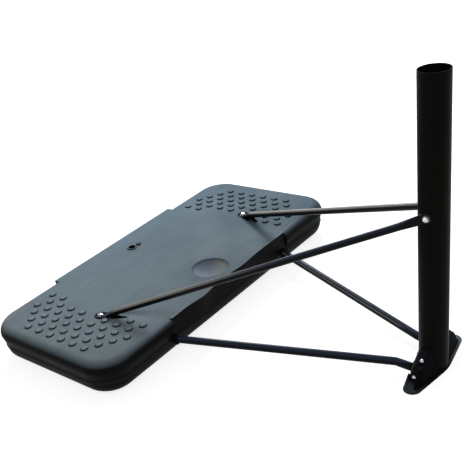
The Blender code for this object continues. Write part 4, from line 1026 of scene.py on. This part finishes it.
# Openings: the pole's bore; in each wing the hollow outside the lower bolt's
# seat, the strut's slot, the foot bolt's flat seat and room for the strut's
# pressed end; then the holes of both bolts.
cutters = [drill(FOOT_FLOOR, 0.12, POLE_R + FIT_GAP, (0, 0, 0), UP, 128)]
spot = (FOOT_BOLT[0], 0, FOOT_BOLT[1])
for side in (-1, 1):
    cutters.append(wing_hollow(side, (CANOPY_Y, WING_OUT_Y), (-0.06, 0.0045), (0.0045, 0.0335)))
    cutters.append(wing_hollow(side, (0.0590, 0.0845), (-0.07, -0.026), (-0.01, 0.0448)))
    cutters.append(drill(SPOTFACE_Y, WING_OUT_Y, SPOTFACE_R, spot, (0, side, 0), 48))
    cutters.append(wing_hollow(side, (0.0692, 0.0850), (-0.030, 0.012), (-0.01, 0.044)))
    cutters.append(wing_hollow(side, (0.0845, 0.1060), (-0.030, 0.012), (-0.01, 0.026)))
for x, z in (FOOT_BOLT, LOWER_BOLT):
    cutters.append(drill(-0.19, 0.19, HOLE_R, (x, 0, z), (0, 1, 0)))
carve(foot, *cutters, crease=35)
bpy.data.objects.remove(wings, do_unlink=True)
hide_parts("foot")
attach(foot, "base")


# Bolts, nuts and washers
# Zinc-plated steel. Hexagon bolts hold the upper struts; two dome-headed bolts
# pass through the foot, and each has a hexagon nut at its far end.

SHANK_R = 0.00475
THREAD_ROOT = 0.0042
THREAD_PITCH = 0.00125
THREADED = 0.012
THREAD_OUT = 0.0092             # from the nut's seat to the bolt's end
ACROSS_FLATS = 0.0150
HEAD_HEIGHT = 0.0060
NUT_HEIGHT = 0.0061
DOME = (0.0055, 0.0085)         # height and radius of the domed heads
FLANGE_RING = ((0, 0), (0, 0.0088), (0.0009, 0.0086), (0.0013, 0.0074), (0.0013, 0))
NUT_BORE = ((-0.01, 0), (-0.01, 0.0058), (0.0, 0.0058), (0.0008, 0.00505), (0.0053, 0.00505),
            (0.0062, 0.0058), (0.02, 0.0058), (0.02, 0))
WASHER_RING = ((0, 0.00505), (0, 0.0112), (0.0003, 0.0115), (0.0015, 0.0115), (0.0018, 0.0112),
               (0.0018, 0.0053), (0.0015, 0.00505), (0, 0.00505))
WASHER_STEP = 0.0021            # its thickness and one gap

bright_zinc, tree, shader, place = principled("zinc_plate", 0.3, 0.5, 1.0)
cloud = speckle(tree, place, 160.0, 4.0, 0.6)
plated = ramp(tree, cloud, (0.36, 0.64, 0.0, 1.0))
plated = blend_colours(tree, plated, (0.16, 0.17, 0.18), (0.80, 0.81, 0.82))
wire(tree, *plated, shader, "Base Color")
wire(tree, *ramp(tree, cloud, (0.3, 0.7, 0.16, 0.30)), shader, "Roughness")
bump(tree, shader, speckle(tree, place, 900.0), 0.00004)

# The washers: zinc painted far darker than the plating, a painted shade.
zinc_painted_dark, tree, shader, place = principled("washer_zinc_painted_shade", 0.45, 0.4, 1.0)
cloud = speckle(tree, place, 190.0, 4.0, 0.6)
wire(tree, *blend_colours(tree, cloud, (0.020, 0.022, 0.025), (0.070, 0.074, 0.080)), shader, "Base Color")
wire(tree, *ramp(tree, cloud, (0.3, 0.7, 0.38, 0.55)), shader, "Roughness")
bump(tree, shader, speckle(tree, place, 900.0), 0.00004)


def hexagon(height):
    """A hexagon of the bolt's size with softened corners, standing on the origin."""
    made = bmesh.new()
    bmesh.ops.create_circle(made, cap_ends=True, segments=6, radius=ACROSS_FLATS / math.sqrt(3))
    face = made.faces[:][0]
    bmesh.ops.extrude_face_region(made, geom=[face], use_keep_orig=True)
    made.faces.ensure_lookup_table()
    top = [f for f in made.faces if f is not face and len(f.verts) == 6][0]
    bmesh.ops.translate(made, verts=list(top.verts), vec=(0, 0, height))
    bmesh.ops.bevel(made, geom=list(top.edges), offset=0.0009, segments=3, profile=0.5,
                    affect="EDGES", material=-1)
    bmesh.ops.recalc_face_normals(made, faces=made.faces)
    return made


def thread_profile(length, plain):
    """Side profile of a shank: plain at first, then ridged, over its length."""
    points = [(0.0008, 0.0), (0.0008, SHANK_R), (-plain, SHANK_R)]
    along = plain
    while along < length - 0.0008:
        points += [(-along - 0.0003, SHANK_R), (-along - 0.0009, THREAD_ROOT)]
        along += THREAD_PITCH
    return points + [(-length + 0.0003, 0.0044), (-length, 0.0038), (-length, 0.0)]


def bolt(name, seat, axis, grip, dome):
    """One bolt: head on its seat, shank along the other way, thread near its end."""
    bm = bmesh.new()
    lathe(thread_profile(grip, grip - THREADED), seat, axis, 24, bm)
    if dome:
        turns = [math.radians(degrees) for degrees in range(0, 90, 9)]
        arc = [(DOME[0] * math.sin(turn), DOME[1] * math.cos(turn)) for turn in turns]
        lathe([(0, 0)] + arc + [(DOME[0], 0)], seat, axis, 40, bm)
    else:
        head = hexagon(HEAD_HEIGHT)
        bmesh.ops.transform(head, matrix=seated(seat, axis), verts=head.verts)
        add_to(bm, head)
        lathe(FLANGE_RING, seat, axis, 40, bm)
    piece = finished(f"{name}_shape", bm, bright_zinc, crease=32, merge=0)
    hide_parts(name)
    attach(piece, "base")


def nut(name, seat, axis):
    """One hexagon nut with its threaded hole."""
    piece = finished(f"{name}_shape", hexagon(NUT_HEIGHT), bright_zinc, crease=32)
    carve(piece, finished("bore", lathe(NUT_BORE, (0, 0, 0), UP, 24), None), crease=32)
    piece.data.transform(seated(seat, axis))
    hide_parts(name)
    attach(piece, "base")


def washer(name, seat, axis):
    """One flat washer with softened edges."""
    piece = finished(f"{name}_shape", lathe(WASHER_RING, seat, axis, 40), zinc_painted_dark, crease=32)
    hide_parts(name)
    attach(piece, "base")


for label, side in (("near", -1), ("far", 1)):
    spot = (ANCHOR.x, side * ANCHOR.y)
    level = TANK_TOP - POCKET_DEEP + 2 * (FIT_GAP + UPPER_FLAT[1])
    head = level + WASHER_STEP
    roof = WELL_ROOF - FIT_GAP
    washer(f"{label}_anchor_washer", (*spot, level), UP)
    bolt(f"{label}_anchor_bolt", (*spot, head), UP, head - roof + THREAD_OUT, False)
    nut(f"{label}_anchor_nut", (*spot, roof), -UP)
near_way, far_way = (0, -1, 0), (0, 1, 0)
for name, (x, z), clamp, dome in (("upper", UPPER_BOLT, UPPER_FLAT_Y + UPPER_FLAT[1], False),
                                  ("lower", LOWER_BOLT, CANOPY_Y, True)):
    seat = clamp + FIT_GAP
    outer = seat + WASHER_STEP
    washer(f"{name}_near_washer", (x, -seat, z), near_way)
    washer(f"{name}_far_washer", (x, seat, z), far_way)
    bolt(f"{name}_bolt", (x, -outer, z), near_way, 2 * outer + THREAD_OUT, dome)
    nut(f"{name}_nut", (x, outer, z), far_way)
x, z = FOOT_BOLT
seat = SPOTFACE_Y + FIT_GAP
bolt("foot_bolt", (x, -seat, z), near_way, 2 * seat + THREAD_OUT, True)
nut("foot_nut", (x, seat, z), far_way)


# Studio
# A pale floor and a white surround, a broad soft light overhead behind the
# tank, and a weaker one by the camera.


def backdrop_rays(tree):
    """1 for the rays that show the backdrop itself: camera, glossy and clear ones."""
    path = tree.nodes.new("ShaderNodeLightPath")
    seen = calculate(tree, "ADD", (path, "Is Camera Ray"), (path, "Is Glossy Ray"), clamp=True)
    return calculate(tree, "ADD", seen, (path, "Is Transmission Ray"), clamp=True)


bm = bmesh.new()
bmesh.ops.create_grid(bm, x_segments=1, y_segments=1, size=12.0)
pale_floor, tree, shader, place = principled("pale_floor", 0.9, 0.1)
shader.inputs["Base Color"].default_value = (0.62, 0.62, 0.62, 1)
shader.inputs["Emission Color"].default_value = (1, 1, 1, 1)
wire(tree, *product(tree, backdrop_rays(tree), 0.80), shader, "Emission Strength")
floor = finished("floor", bm, pale_floor)
floor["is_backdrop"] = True

world = bpy.data.worlds.new("surround")
scene.world = world
world.use_nodes = True
tree = world.node_tree
background = tree.nodes["Background"]
background.inputs["Color"].default_value = (1, 1, 1, 1)
wire(tree, *ramp(tree, backdrop_rays(tree), (0.0, 1.0, 0.34, 1.0)), background, "Strength")


def soft_light(name, place, target, size, power, colour):
    """A square area light that points at a target."""
    lamp = bpy.data.lights.new(name, "AREA")
    lamp.size = size
    lamp.energy = power
    lamp.color = colour
    made = bpy.data.objects.new(name, lamp)
    made.location = place
    made.rotation_euler = (Vector(target) - Vector(place)).to_track_quat("-Z", "Y").to_euler()
    scene.collection.objects.link(made)


soft_light("overhead", (-3.1, 2.9, 2.3), (-0.8, 0.0, 0.1), 1.6, 150.0, (0.97, 0.99, 1.0))
soft_light("front", (1.6, -2.6, 2.8), (-0.4, 0.0, 0.2), 1.8, 14.0, (1.0, 0.98, 0.96))

low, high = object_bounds()
